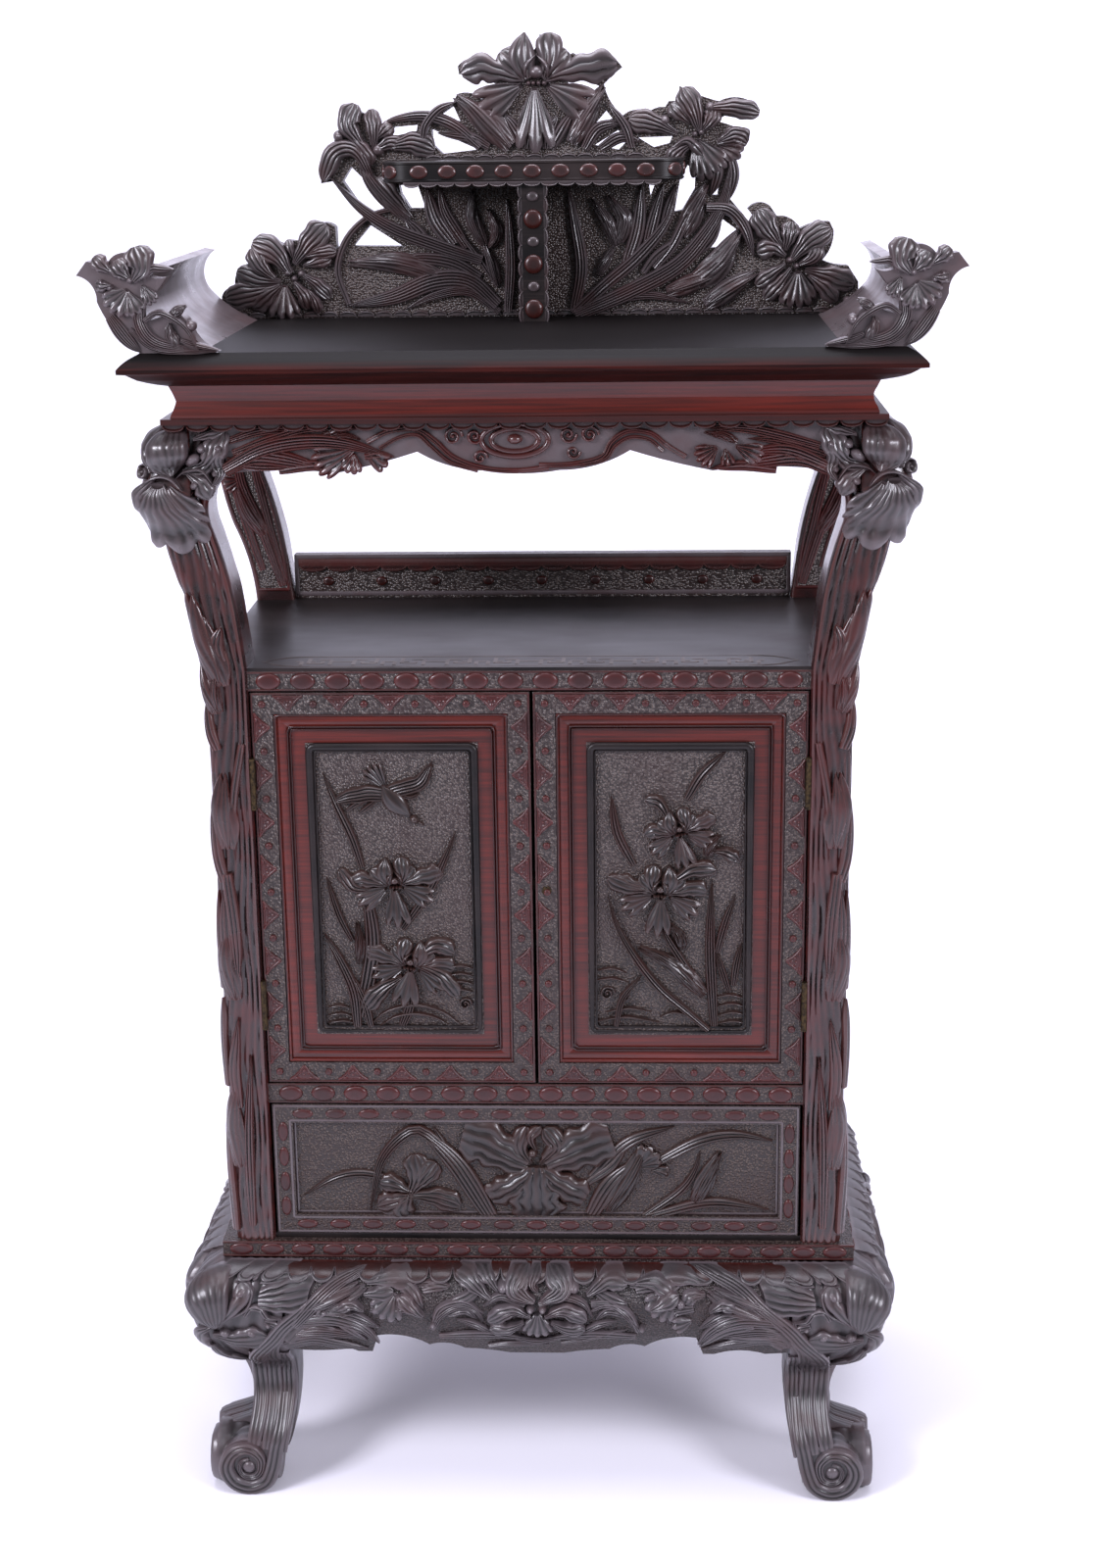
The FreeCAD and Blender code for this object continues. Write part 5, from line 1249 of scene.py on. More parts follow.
# Small bird among the left door's irises, wings spread, its head down to the right
birdPlan = {
    "corner": (300, 750), "zoom": 5.06,
    "wings": [
        ([(480, 310), (400, 300), (290, 315), (190, 345)], 88, 5),
        ([(470, 300), (560, 270), (650, 240), (712, 140)], 84, 5)],
    "feathers": [
        ([(400, 330), (330, 350), (262, 395)], 30), ([(430, 330), (380, 370), (330, 408)], 30),
        ([(580, 280), (640, 280), (690, 250)], 26), ([(540, 300), (600, 320), (650, 300)], 26)],
    "tails": [((480, 285), 126, 58, 150, 5)], "bodies": [([(455, 255), (510, 330), (600, 415)], 112)],
    "beaks": [([(640, 440), (672, 462)], 15)],
    "ovals": [((622, 432), 52, 44, 6.5, -40, 9), ((628, 428), 10, 10, 8.0, 0, 7)],
}
panelSettings = {
    "rises": {"leaf": 3.2, "bud": 4.6, "petal": 4.4, "bead": 6.5}, "doorDepth": 3.5, "doorRelief": 1.5,
    "drawerDepth": 7, "drawerRelief": 1.3, "sink": 1.5,
    # Inset, corner radius, width, reeds' outline, rise and rows of the bead round each panel, then of the fine
    # lines on each moulding
    "panelBeads": [(4.6, 7, 9.6, "round", 4.6, 0.2, 420), (10.4, 4, 2.4, "band", 1.6, 0.1, 300)],
    "mouldingBeads": [(1.6, 1, 3.0, "band", 2.6, 0.1, 160), (17.0, 1, 2.2, "band", 2.2, 0.1, 160),
                      (20.4, 1, 1.8, "band", 1.6, 0.1, 160)],
}


# A closed line round a box's front, in from its edges, with round corners
def roundedFrame(low, high, inset, radius):
    x0, x1, z0, z1 = low[0] + inset, high[0] - inset, low[2] + inset, high[2] - inset
    corners = [(x1 - radius, z0 + radius, -90), (x1 - radius, z1 - radius, 0), (x0 + radius, z1 - radius, 90),
               (x0 + radius, z0 + radius, 180)]
    points = [((x0 + x1) / 2, z0)]
    for x, z, start in corners:
        turn = np.radians(start + np.linspace(0, 90, 7))
        arc = np.stack([x + radius * np.cos(turn), z + radius * np.sin(turn)], -1)
        away = math.dist(points[-1], arc[0])
        points += [tuple(place) for place in np.linspace(points[-1], arc[0], max(3, int(away / 3)))[1:]]
        points += [tuple(place) for place in arc[1:]]
    away = math.dist(points[-1], points[0])
    return points + [tuple(place) for place in np.linspace(points[-1], points[0], int(away / 3))[1:]]


def addFrames(name, node, depth, sink, frames, material, body):
    low, high = boxOf(node)
    carving = Carving(frontAt(low[1] + depth), sink=sink)
    for inset, radius, width, outline, rise, cut, rows in frames:
        carving.strip(roundedFrame(low, high, inset, radius), width, outline, 1, rise, cut, rows=rows)
    carving.build(name, material, body)


def makeDoorPanels():
    settings = panelSettings
    for side, plans in (("left", [leftDoorPlan, birdPlan]), ("right", [rightDoorPlan])):
        node, body = "door_" + side, side + "_door"
        depth = boxOf(node + "_panel")[0][1] + settings["doorDepth"]
        carveFlat(side + "DoorIrises", plans, depth, settings["rises"], "carvedPanel", body, settings["doorRelief"],
                  settings["sink"])
        addFrames(side + "PanelBead", node + "_panel", 0, 3.0, settings["panelBeads"], "black", body)
        addFrames(side + "MouldingBeads", node + "_moulding", 2, 4.0, settings["mouldingBeads"], "darkRed", body)
    print("door panels ready")


def makeDrawerPanel():
    settings = panelSettings
    depth = boxOf("drawer_front")[0][1] + settings["drawerDepth"]
    carveFlat("drawerIrises", [drawerPlan, drawerFlower], depth, settings["rises"], "carvedPanel", "drawer",
              settings["drawerRelief"], settings["sink"])
    print("drawer panel ready")


upperApronPlans = [
    {"corner": (225, 405), "zoom": 4.68,
     "leaves": [
         ([(40, 210), (180, 165), (330, 150), (470, 160)], 46, 4, 0),
         ([(60, 265), (250, 195), (450, 150), (640, 210)], 40, 3, 1),
         ([(20, 345), (200, 250), (400, 212), (600, 222), (825, 285)], 72, 5, 3),
         ([(30, 300), (150, 330), (380, 335)], 40, 3, 0), ([(690, 285), (760, 275), (830, 285)], 40, 2, 1),
         ([(20, 350), (150, 285), (300, 295), (500, 340)], 84, 5, 1),
         ([(280, 350), (440, 325), (620, 345)], 56, 3, 0)],
     "buds": [([(480, 190), (580, 150), (690, 150)], 44, 0.4), ([(520, 200), (600, 185), (670, 205)], 34, 0.4)],
     "fans": [((660, 236), 204, 56, 220, 5), ((640, 262), 258, 84, 100, 4), ((690, 262), 330, 66, 120, 3)],
     "ribbons": [
         ([(700, 215), (800, 165), (930, 152), (1020, 205), (1110, 285), (1240, 335), (1400, 352), (1568, 335)], 26),
         ([(760, 245), (850, 195), (940, 182), (1010, 240), (1100, 312), (1230, 352)], 20)],
     "spirals": [((1110, 188), 44, 1.6, 1), ((1212, 186), 38, 1.5, -1), ((1240, 290), 34, 1.3, 1)],
     "rings": [((1405, 205), 160, 78), ((1405, 205), 112, 54)], "ovals": [((1405, 200), 74, 50, 7.0, 0, 11)]},
    {"corner": (550, 405), "zoom": 4.75,
     "leaves": [
         ([(1400, 330), (1200, 255), (985, 268)], 62, 4, 2),
         ([(1360, 235), (1150, 180), (1000, 152), (750, 140)], 50, 4, 1),
         ([(1390, 280), (1180, 215), (1010, 200)], 44, 3, 0),
         ([(1410, 350), (1270, 290), (1120, 300), (930, 340)], 84, 5, 1),
         ([(1150, 350), (1000, 330), (830, 345)], 56, 3, 0)],
     "buds": [([(960, 215), (880, 180), (800, 165)], 44, 0.4)],
     "fans": [((870, 236), 214, 80, 120, 5), ((900, 244), 282, 66, 84, 3), ((940, 232), 338, 56, 150, 4)],
     "ribbons": [
         ([(0, 330), (150, 325), (300, 290), (350, 215), (430, 165), (540, 175), (620, 235), (710, 290)], 26),
         ([(200, 330), (320, 300), (370, 235), (440, 195), (530, 205), (600, 262)], 20)],
     "spirals": [((140, 180), 42, 1.5, -1), ((245, 182), 44, 1.6, 1), ((165, 265), 34, 1.3, -1)]},
]
upperApronSettings = {"relief": 1.35, "rises": {"leaf": 4.0, "bud": 4.5, "petal": 5.0}}


def makeUpperApron():
    for plan, name in zip(upperApronPlans, ("upperApronLeft", "upperApronRight")):
        carveFlat(name, [plan], boxOf("upper_apron")[0][1], upperApronSettings["rises"], "postWood",
                  relief=upperApronSettings["relief"])
    print("upper apron ready")


standApronPlans = [
    {"corner": (300, 1280), "zoom": 6.03,
     "leaves": [
         ([(0, 430), (120, 300), (260, 170), (440, 92)], 84, 5, 4),
         ([(850, 452), (895, 370), (1000, 308), (1110, 335), (1170, 405)], 50, 4, 2),
         ([(930, 188), (840, 180), (755, 182)], 50, 4, 0), ([(200, 350), (330, 440), (455, 520)], 60, 2, 2),
         ([(30, 470), (160, 440), (330, 480)], 60, 3, 0), ([(1420, 300), (1270, 245), (1165, 310)], 44, 3, 3),
         ([(1200, 560), (1350, 540), (1568, 545)], 50, 3, 0),
         ([(-60, 560), (120, 520), (280, 545), (460, 575)], 90, 4, 0),
         ([(470, 330), (560, 350), (640, 420)], 60, 3, 0)],
     "buds": [([(200, 335), (320, 280), (448, 200)], 96, 0.3), ([(230, 365), (320, 355), (412, 335)], 50, 0.3)],
     "fans": [((630, 225), 240, 96, 180, 5), ((120, 410), 45, 70, 110, 3)],
     "petals": [([(450, 160), (600, 130), (755, 150)], 120, 3), ([(430, 235), (520, 230), (612, 222)], 100, 3)],
     "beads": [((645, 262), 44)]},
    {"corner": (540, 1280), "zoom": 6.03,
     "leaves": [
         ([(1560, 425), (1420, 320), (1290, 195), (1130, 118), (985, 88)], 84, 5, 4),
         ([(380, 300), (500, 300), (610, 375), (695, 482)], 52, 4, 2), ([(620, 180), (700, 178), (770, 190)], 46, 3, 0),
         ([(1380, 440), (1200, 470), (1045, 560)], 60, 2, 2),
         ([(60, 300), (200, 250), (330, 290), (390, 380)], 44, 3, 3),
         ([(1500, 520), (1340, 515), (1190, 500)], 60, 2, 1), ([(200, 540), (400, 500), (600, 460)], 44, 3, 0),
         ([(1620, 560), (1440, 520), (1250, 545), (1060, 580)], 90, 4, 0),
         ([(1010, 330), (900, 350), (840, 430)], 60, 3, 0)],
     "buds": [([(1450, 400), (1280, 330), (1100, 218)], 118, 0.3), ([(1420, 395), (1260, 360), (1120, 345)], 50, 0.3)],
     "fans": [((880, 230), 230, 100, 180, 5), ((1010, 400), 200, 70, 130, 3)],
     "petals": [([(1100, 170), (920, 125), (770, 150)], 110, 3), ([(1080, 240), (1000, 250), (960, 300)], 90, 3)],
     "beads": [((930, 300), 60)]},
]
# The middle of the stand's front apron and the leaves between its flowers
apronMiddle = {
    "corner": (225, 1100), "zoom": 2.3256, "rises": {"bud": 7.5, "petal": 7.5, "bead": 13},
    "leaves": [
        ([(480, 500), (510, 490), (545, 492)], 26, 3, 0), ([(985, 500), (1015, 490), (1050, 495)], 26, 3, 0),
        ([(505, 592), (520, 545), (575, 528), (625, 556)], 16, 2, 1),
        ([(992, 600), (965, 552), (915, 536), (868, 556)], 16, 2, 1), ([(540, 560), (580, 548), (610, 570)], 20, 3, 0),
        ([(965, 562), (920, 550), (890, 572)], 20, 3, 0), ([(640, 600), (600, 580), (560, 570)], 18, 3, 0),
        ([(860, 600), (900, 582), (940, 575)], 18, 3, 0), ([(690, 612), (750, 622), (815, 612)], 16, 3, 0),
        ([(400, 552), (440, 545), (480, 556)], 18, 3, 0), ([(1020, 552), (1060, 545), (1110, 552)], 18, 3, 0),
        ([(185, 575), (270, 568), (340, 592), (378, 626)], 36, 4, 2),
        ([(1325, 578), (1235, 570), (1170, 594), (1132, 630)], 36, 4, 2),
        ([(180, 606), (250, 600), (350, 612)], 34, 5, 0), ([(1328, 606), (1260, 600), (1160, 614)], 34, 5, 0),
        ([(240, 556), (310, 560), (378, 590)], 30, 4, 1), ([(1262, 558), (1195, 562), (1135, 592)], 30, 4, 1),
        ([(520, 610), (640, 606), (760, 620)], 22, 3, 0), ([(985, 612), (870, 606), (750, 620)], 22, 3, 0),
        ([(420, 480), (450, 500), (480, 545)], 34, 3, 0), ([(1085, 480), (1050, 505), (1020, 550)], 34, 3, 0),
        ([(610, 500), (580, 520), (540, 530)], 28, 3, 0), ([(895, 505), (925, 522), (965, 535)], 28, 3, 0)],
    "petals": [
        ([(640, 520), (590, 470), (560, 460)], 44, 4), ([(660, 500), (620, 455), (600, 446)], 34, 3),
        ([(870, 510), (920, 472), (965, 482)], 44, 4), ([(985, 480), (1030, 478), (1070, 510)], 40, 3),
        ([(735, 562), (690, 546), (636, 574)], 42, 4), ([(770, 562), (815, 546), (868, 572)], 42, 4),
        ([(720, 575), (680, 590), (640, 590)], 36, 4), ([(785, 575), (825, 590), (865, 592)], 36, 4),
        ([(480, 560), (455, 540), (425, 515)], 40, 3), ([(1020, 545), (1050, 530), (1085, 512)], 40, 3),
        ([(340, 545), (310, 530), (280, 545)], 30, 3), ([(1160, 548), (1190, 532), (1220, 545)], 30, 3)],
    "fans": [((752, 552), -90, 92, 64, 5)],
    "last": [
        ([(744, 526), (700, 490), (728, 448)], 56, 5), ([(762, 526), (812, 490), (778, 448)], 56, 5),
        ([(752, 500), (740, 478), (755, 452)], 26, 3)],
    "buds": [([(205, 545), (265, 520), (330, 490)], 36, 0.3), ([(1298, 548), (1235, 520), (1170, 495)], 36, 0.3)],
    "beads": [
        ((670, 490), 28), ((838, 490), 30), ((735, 544), 20), ((764, 544), 20), ((505, 580), 16), ((1000, 590), 16)],
}
# Millimetres: the scallops that hang along the top of the stand's aprons
standScallop = {"wide": 31.0, "drop": 15.0, "rise": 6.5, "frontHalf": 10, "sideHalf": 6}
standRises = {"leaf": 5.0, "bud": 7.0, "petal": 6.5, "bead": 10}
# The sides repeat the front's order more simply: an iris between arching leaves, in millimetres from the middle
sideApron = {
    "leaves": [
        ([(145, 236), (105, 270), (60, 302), (18, 322)], 15, 5, 5.0, 1.3, 2),
        ([(50, 232), (76, 262), (110, 262), (140, 228)], 11, 4, 4.5, 1.2, 1)],
    "bud": ([(132, 262), (108, 286), (84, 312)], 19, 7.0, 1, 0.4), "fan": ((62, 276), 10, 100, 30, 5, 6.0),
    "bead": ((44, 300), 12, 8), "iris": (292.0, 46, 0, 1, 0.9, 1.0),
}


# Front or side of a bowed apron: heights up its node's mesh, and how deep its face is at each
def bowOf(node, column):
    low, high = boxOf(node)
    heights = np.append(np.arange(low[2] + 0.6, high[2] - 2, 4.0), high[2] - 0.6)
    return heights, reachOf(node, heights)[:, column]


def bowedSurface(heights, faces, side=0):
    def surface(across, along, height):
        along = pressUnder(along, heights[-1])
        face = np.interp(along, heights, faces)
        return np.stack([face + side * height, side * across, along] if side else [across, face - height, along], -1)
    return surface


def hangScallops(carving, middle, top, half, rims=None):
    wide, drop, rise = (standScallop[key] for key in ("wide", "drop", "rise"))
    for number in range(-half, half + 1):
        carving.scallop((middle + number * wide, top - 1), wide, drop, rise, rims)


def makeStandApron():
    heights, faces = bowOf("stand_apron_front", 2)
    surface = bowedSurface(heights, faces)
    def carve(name, plan, relief=1.0):
        carving = Carving(surface, relief)
        addTraced(carving, BowedTracing(plan["corner"], plan["zoom"], heights, faces), plan, standRises)
        carving.build(name, "legWood")
    carve("standApronLeft", standApronPlans[0])
    carve("standApronRight", standApronPlans[1])
    # The scallops' rims are a separate piece in the lighter leg finish: partly wear on their edges, partly a painted
    # highlight
    scallops, rims = Carving(surface), Carving(surface)
    hangScallops(scallops, 0, boxOf("stand_apron_front")[1][2], standScallop["frontHalf"], rims)
    scallops.build("standScallopsFront", "darkRed")
    rims.build("standScallopRims", "legWood")
    carve("standApronMiddle", apronMiddle, 1.15)
    for side, hand, column in (("Left", -1, 0), ("Right", 1, 1)):
        carveSideApron(side, hand, column)
    print("stand aprons ready")


def carveSideApron(name, side, column):
    plan, node = sideApron, "stand_apron_" + name.lower()
    low, high = boxOf(node)
    middle = side * (low[1] + high[1]) / 2
    carving = Carving(bowedSurface(*bowOf(node, column), side))
    for hand in (-1, 1):
        for points, width, reeds, rise, depth, lift in plan["leaves"]:
            line = [(middle + hand * across, height) for across, height in points]
            carving.strip(line, width, "blade", reeds, rise, depth, lift)
        points, width, rise, lift, twist = plan["bud"]
        carving.bud([(middle + hand * across, height) for across, height in points], width, rise, lift, twist)
        (across, height), turn, spread, reach, reeds, rise = plan["fan"]
        carving.fan((middle + hand * across, height), 270 - hand * turn, spread, reach, reeds, rise)
        (across, height), width, rise = plan["bead"]
        carving.bead((middle + hand * across, height), width, rise=rise)
    height, *shape = plan["iris"]
    carving.iris((middle, height), *shape)
    hangScallops(carving, middle, high[2], standScallop["sideHalf"])
    carving.build("sideApron" + name, "legWood")


flangePlan = {
    "corner": (95, 220), "zoom": 8.71, "rises": {"leaf": 4.0, "bud": 6.0, "petal": 7.0, "bead": 9},
    "leaves": [
        ([(150, 900), (250, 1040), (330, 1130), (430, 1218)], 130, 6, 0),
        ([(420, 760), (420, 960), (560, 1130), (900, 1200)], 120, 6, 2),
        ([(330, 1010), (520, 1170), (800, 1210), (1120, 1205)], 60, 4, 1),
        ([(460, 935), (570, 862), (700, 900), (840, 1010), (945, 1195)], 56, 3, 5),
        ([(780, 1105), (900, 1145), (1120, 1195)], 50, 3, 1),
        ([(440, 560), (520, 470), (610, 470), (715, 478)], 70, 3, 2)],
    "buds": [([(740, 1160), (690, 1040), (700, 950)], 110, 0.4), ([(690, 880), (770, 840), (832, 808)], 90, 0.4)],
    "fans": [((320, 640), 232, 92, 260, 5), ((300, 660), 292, 72, 230, 4), ((430, 600), 300, 60, 200, 4)],
    "petals": [
        ([(330, 560), (240, 470), (190, 400)], 210, 4), ([(360, 580), (430, 460), (370, 275)], 260, 4),
        ([(170, 500), (80, 440), (5, 370)], 150, 3), ([(170, 620), (90, 625), (25, 610)], 110, 3)],
    "beads": [((240, 545), 56), ((330, 575), 62), ((870, 980), 100), ((150, 640), 60)],
}


def makeFlangeEnds():
    for mirrored, name in ((False, "flangeIrisLeft"), (True, "flangeIrisRight")):
        carveFlat(name, [flangePlan], boxOf("flange_left")[0][1], {}, "carved", sink=4, mirrored=mirrored)
    print("flange ends ready")


# Rows of repeated units, made with Geometry Nodes: a unit is set along a straight row, turned, and made real

def rowTree():
    tree = bpy.data.node_groups.new("RowOfUnits", "GeometryNodeTree")
    for name, kind in (("Unit", "NodeSocketObject"), ("Count", "NodeSocketInt"), ("Start", "NodeSocketVector"),
                       ("Step", "NodeSocketVector"), ("Turn", "NodeSocketVector"), ("Finish", "NodeSocketMaterial")):
        tree.interface.new_socket(name=name, in_out="INPUT", socket_type=kind)
    tree.interface.new_socket(name="Geometry", in_out="OUTPUT", socket_type="NodeSocketGeometry")
    given = addNode(tree, "NodeGroupInput").outputs
    line = addNode(tree, "GeometryNodeMeshLine", {"Count": given["Count"], "Start Location": given["Start"],
                                                  "Offset": given["Step"]}, mode="OFFSET", count_mode="TOTAL")
    unit = addNode(tree, "GeometryNodeObjectInfo", {"Object": given["Unit"]})
    placed = addNode(tree, "GeometryNodeInstanceOnPoints", {"Points": line.outputs["Mesh"],
                                                            "Instance": unit.outputs["Geometry"],
                                                            "Rotation": given["Turn"]})
    real = addNode(tree, "GeometryNodeRealizeInstances", {"Geometry": placed.outputs["Instances"]})
    finished = addNode(tree, "GeometryNodeSetMaterial", {"Geometry": real.outputs["Geometry"],
                                                         "Material": given["Finish"]})
    addNode(tree, "NodeGroupOutput", {"Geometry": finished.outputs["Geometry"]})
    return tree


# Units are drawn about their own middle, across and along on the page. Kind, width, height and rise in millimetres.
unitShapes = {
    "oval": ("bead", 31, 21, 3.8), "standOval": ("bead", 31, 17, 3.0), "drawerOval": ("bead", 27, 13, 2.6),
    "shelfOval": ("bead", 23, 17, 2.4), "bracketOval": ("bead", 24, 25, 4.6), "boss": ("bead", 9, 9, 4.0),
    "galleryBoss": ("bead", 15, 13, 4.0), "triangle": ("triangle", 37, 19, 1.7), "scallop": ("scallop", 27.4, 9, 5.0),
    "smallScallop": ("scallop", 22, 6, 3.0), "gallerySwag": ("scallop", 38, 8, 3.0),
}
rowTools = {"tree": rowTree(), "units": {}}


# A raised triangle with a little flower cut into it
def drawTriangle(carving, base, height, rise):
    half = base / 2
    carving.strip([(0, 0.5), (0, height * 0.5), (0, height)], base, "wedge", 1, rise, 0.0, rows=6)
    for side in (-1, 1):
        edge = [(side * half, 0), (side * half * 0.52, height * 0.36), (0, height)]
        carving.strip(edge, 3.4, "band", 1, 2.4, 0.3, rows=7)
    carving.strip([(-half, 1.0), (half, 1.0)], 2.4, "band", 1, 2.0, 0.2, rows=5)
    for turn in (90, 18, 162):
        carving.fan((0, height * 0.36), turn, 66, height * 0.34, 1, 2.6, 0.5, lobes=1, sides=0.2)
    for side in (-1, 1):
        leaf = [(side * half * 0.3, height * 0.16), (side * half * 0.75, height * 0.13)]
        carving.strip(leaf, 4.0, "lens", 1, 2.4, 0.4, rows=7)
    carving.bead((0, height * 0.36), 3.6, rise=3.6, rows=7)


def makeUnits():
    for name, (kind, width, height, rise) in unitShapes.items():
        carving = Carving(frontAt(0.0), sink=1.0)
        if kind == "bead":
            carving.bead((0, 0), width, height, rise, rows=11, bulge=3)
        elif kind == "scallop":
            carving.scallop((0, 0), width, height, rise)
        else:
            drawTriangle(carving, width, height, rise)
        mesh = bpy.data.meshes.new(name)
        mesh.from_pydata((np.concatenate(carving.points) * millimetre).tolist(), [], carving.faces)
        unit = bpy.data.objects.new(name, mesh)
        bpy.context.scene.collection.objects.link(unit)
        rowTools["units"][name] = unit


def clearUnits():
    for unit in rowTools["units"].values():
        bpy.data.objects.remove(unit)


# A run of count units spread between two ends of an axis. Place gives its other two coordinates; tilt turns each
# unit about y and turn about z, in degrees.
def spreadRun(count, axis, low, high, place, tilt=0, turn=0):
    step = (high - low) / count
    start, way = list(place), [0.0, 0.0, 0.0]
    start[axis], way[axis] = low + step / 2, step
    return count, start, way, tilt, turn


# Sets each run's units in place with the tree, and keeps the plain mesh that comes out
def makeRow(name, unit, runs, material, body="cabinet"):
    sockets = {item.name: item.identifier for item in rowTools["tree"].interface.items_tree if item.in_out == "INPUT"}
    shapes = []
    for count, start, step, tilt, turn in runs:
        holder = bpy.data.objects.new(name, bpy.data.meshes.new(name))
        bpy.context.scene.collection.objects.link(holder)
        modifier = holder.modifiers.new("Row", "NODES")
        modifier.node_group = rowTools["tree"]
        values = {"Unit": rowTools["units"][unit], "Count": count, "Start": [v * millimetre for v in start],
                  "Step": [v * millimetre for v in step], "Finish": materials[material],
                  "Turn": (0.0, math.radians(tilt), math.radians(turn))}
        for key, value in values.items():
            modifier[sockets[key]] = value
        bpy.context.view_layer.update()
        ready = holder.evaluated_get(bpy.context.evaluated_depsgraph_get())
        mesh = bpy.data.meshes.new_from_object(ready)
        points = np.empty(len(mesh.vertices) * 3)
        mesh.vertices.foreach_get("co", points)
        shapes.append((points.reshape(-1, 3), [list(face.vertices) for face in mesh.polygons]))
        holder.modifiers.clear()
        bpy.data.objects.remove(holder)
    points, faces = joined(shapes)
    addPiece(name, points, faces, material, body)


# Raised lines on upright fronts, given as (depth, points)
def lipLines(name, lines, material, body="cabinet", width=2.6, rise=1.6):
    parts = []
    for depth, points in lines:
        carving = Carving(frontAt(depth), sink=1.0)
        carving.strip(points, width, "band", 1, rise, 0.2, rows=2)
        parts.append((np.concatenate(carving.points) * millimetre, carving.faces))
    points, faces = joined(parts)
    addPiece(name, points, faces, material, body)


def levelLines(low, high, inset, levels):
    return [(low[1], [(low[0] + inset, z), (high[0] - inset, z)]) for z in levels]


def uprightLines(low, high, inset, ends):
    return [(low[1], [(x, ends[0]), (x, ends[1])]) for x in (low[0] + inset, high[0] - inset)]


# Bands: ovals between lips on the rails, and on the front and sides of the stand's top. Counts and millimetres.
bands = {
    "rails": {"deck": 4, "middle": 8}, "railOvals": 16, "lip": 1.4, "standOvals": 20, "standSideOvals": 11,
    "standUp": 0.5, "standEnds": (4, 6), "standLips": (2, 1.4), "standLip": {"width": 3.2, "rise": 2.2},
    "upperScallops": {"count": 30, "forward": 6, "up": 1}, "crestScallops": {"count": 34, "ends": 12, "up": 2},
}


def makeBands():
    lip = bands["lip"]
    for rail, inset in bands["rails"].items():
        low, high = boxOf(rail + "_rail")
        place = (0, low[1], (low[2] + high[2]) / 2)
        run = spreadRun(bands["railOvals"], 0, low[0] + inset, high[0] - inset, place)
        makeRow(rail + "RailOvals", "oval", [run], "redCarved")
        lipLines(rail + "RailLips", levelLines(low, high, 0, (low[2] + lip, high[2] - lip)), "darkRed")
    low, high = boxOf("stand_top")
    near, far = bands["standEnds"]
    middle = (low[2] + high[2]) / 2 + bands["standUp"]
    runs = [spreadRun(bands["standOvals"], 0, low[0] + near, high[0] - near, (0, low[1], middle))]
    for x, turn in ((low[0], -90), (high[0], 90)):
        runs.append(spreadRun(bands["standSideOvals"], 1, low[1] + near, high[1] - far, (x, 0, middle), 0, turn))
    makeRow("standTopOvals", "standOval", runs, "redCarved")
    under, over = bands["standLips"]
    lipLines("standTopLips", levelLines(low, high, 0, (low[2] + under, high[2] - over)), "darkRed", **bands["standLip"])
    makeScallops()
    makeDoorTriangles()
    makeDrawerFrame()
    makeDeckFret()
    makeGallery()
    makeShelf()
    makeBracket()
    print("bands ready")


def makeScallops():
    upper, crest = bands["upperScallops"], bands["crestScallops"]
    low, high = boxOf("frieze_front")
    place = (0, boxOf("upper_apron")[0][1] - upper["forward"], low[2] + upper["up"])
    makeRow("upperScallops", "scallop", [spreadRun(upper["count"], 0, -high[0], high[0], place)], "darkRed")
    low, high = boxOf("crest_board")
    place, ends = (0, low[1], boxOf("cornice")[1][2] + crest["up"]), crest["ends"]
    run = spreadRun(crest["count"], 0, low[0] + ends, high[0] - ends, place, 180)
    makeRow("crestScallops", "smallScallop", [run], "carved")


# Triangles point in from the door frame's edges, with a boss between each two and at the corners
doorFrame = {"border": 27.0, "base": 3.5, "sideTriangles": 8, "endTriangles": 5, "edge": 1.5}


def makeDoorTriangles():
    border, base, edge = doorFrame["border"], doorFrame["base"], doorFrame["edge"]
    tall, wide = doorFrame["sideTriangles"], doorFrame["endTriangles"]
    for side in ("left", "right"):
        low, high = boxOf("door_" + side + "_stiles")
        x0, face, z0, x1, z1 = *low, high[0], high[2]
        ups, overs = (z0 + border * 0.5, z1 - border * 0.5), (x0 + border * 0.55, x1 - border * 0.55)
        runs = [spreadRun(tall, 2, *ups, (x0 + base, face, 0), 90), spreadRun(tall, 2, *ups, (x1 - base, face, 0), -90),
                spreadRun(wide, 0, *overs, (0, face, z0 + base)),
                spreadRun(wide, 0, *overs, (0, face, z1 - base), 180)]
        makeRow(side + "DoorTriangles", "triangle", runs, "redCarved", side + "_door")
        inset, up, over = border / 2 + 1, (ups[1] - ups[0]) / tall / 2, (overs[1] - overs[0]) / wide / 2
        levels, sides = (z0 + inset, z1 - inset), (x0 + inset, x1 - inset)
        bosses = [spreadRun(tall - 1, 2, ups[0] + up, ups[1] - up, (x, face, 0)) for x in sides]
        bosses += [spreadRun(wide - 1, 0, overs[0] + over, overs[1] - over, (0, face, z)) for z in levels]
        bosses += [(2, (sides[0], face, z), (sides[1] - sides[0], 0, 0), 0, 0) for z in levels]
        makeRow(side + "DoorBosses", "boss", bosses, "redCarved", side + "_door")
        ends = (z0 + edge, z1 - edge)
        lipLines(side + "DoorLips", levelLines(low, high, edge, ends) + uprightLines(low, high, edge, ends), "darkRed",
                 side + "_door")


# Ovals round the drawer's front, and lines at (inset, how far back)
drawerFrame = {"border": 26.0, "ovals": 15, "sideOvals": 4, "lines": ((2.4, 0), (22.4, 0), (27.6, 7))}


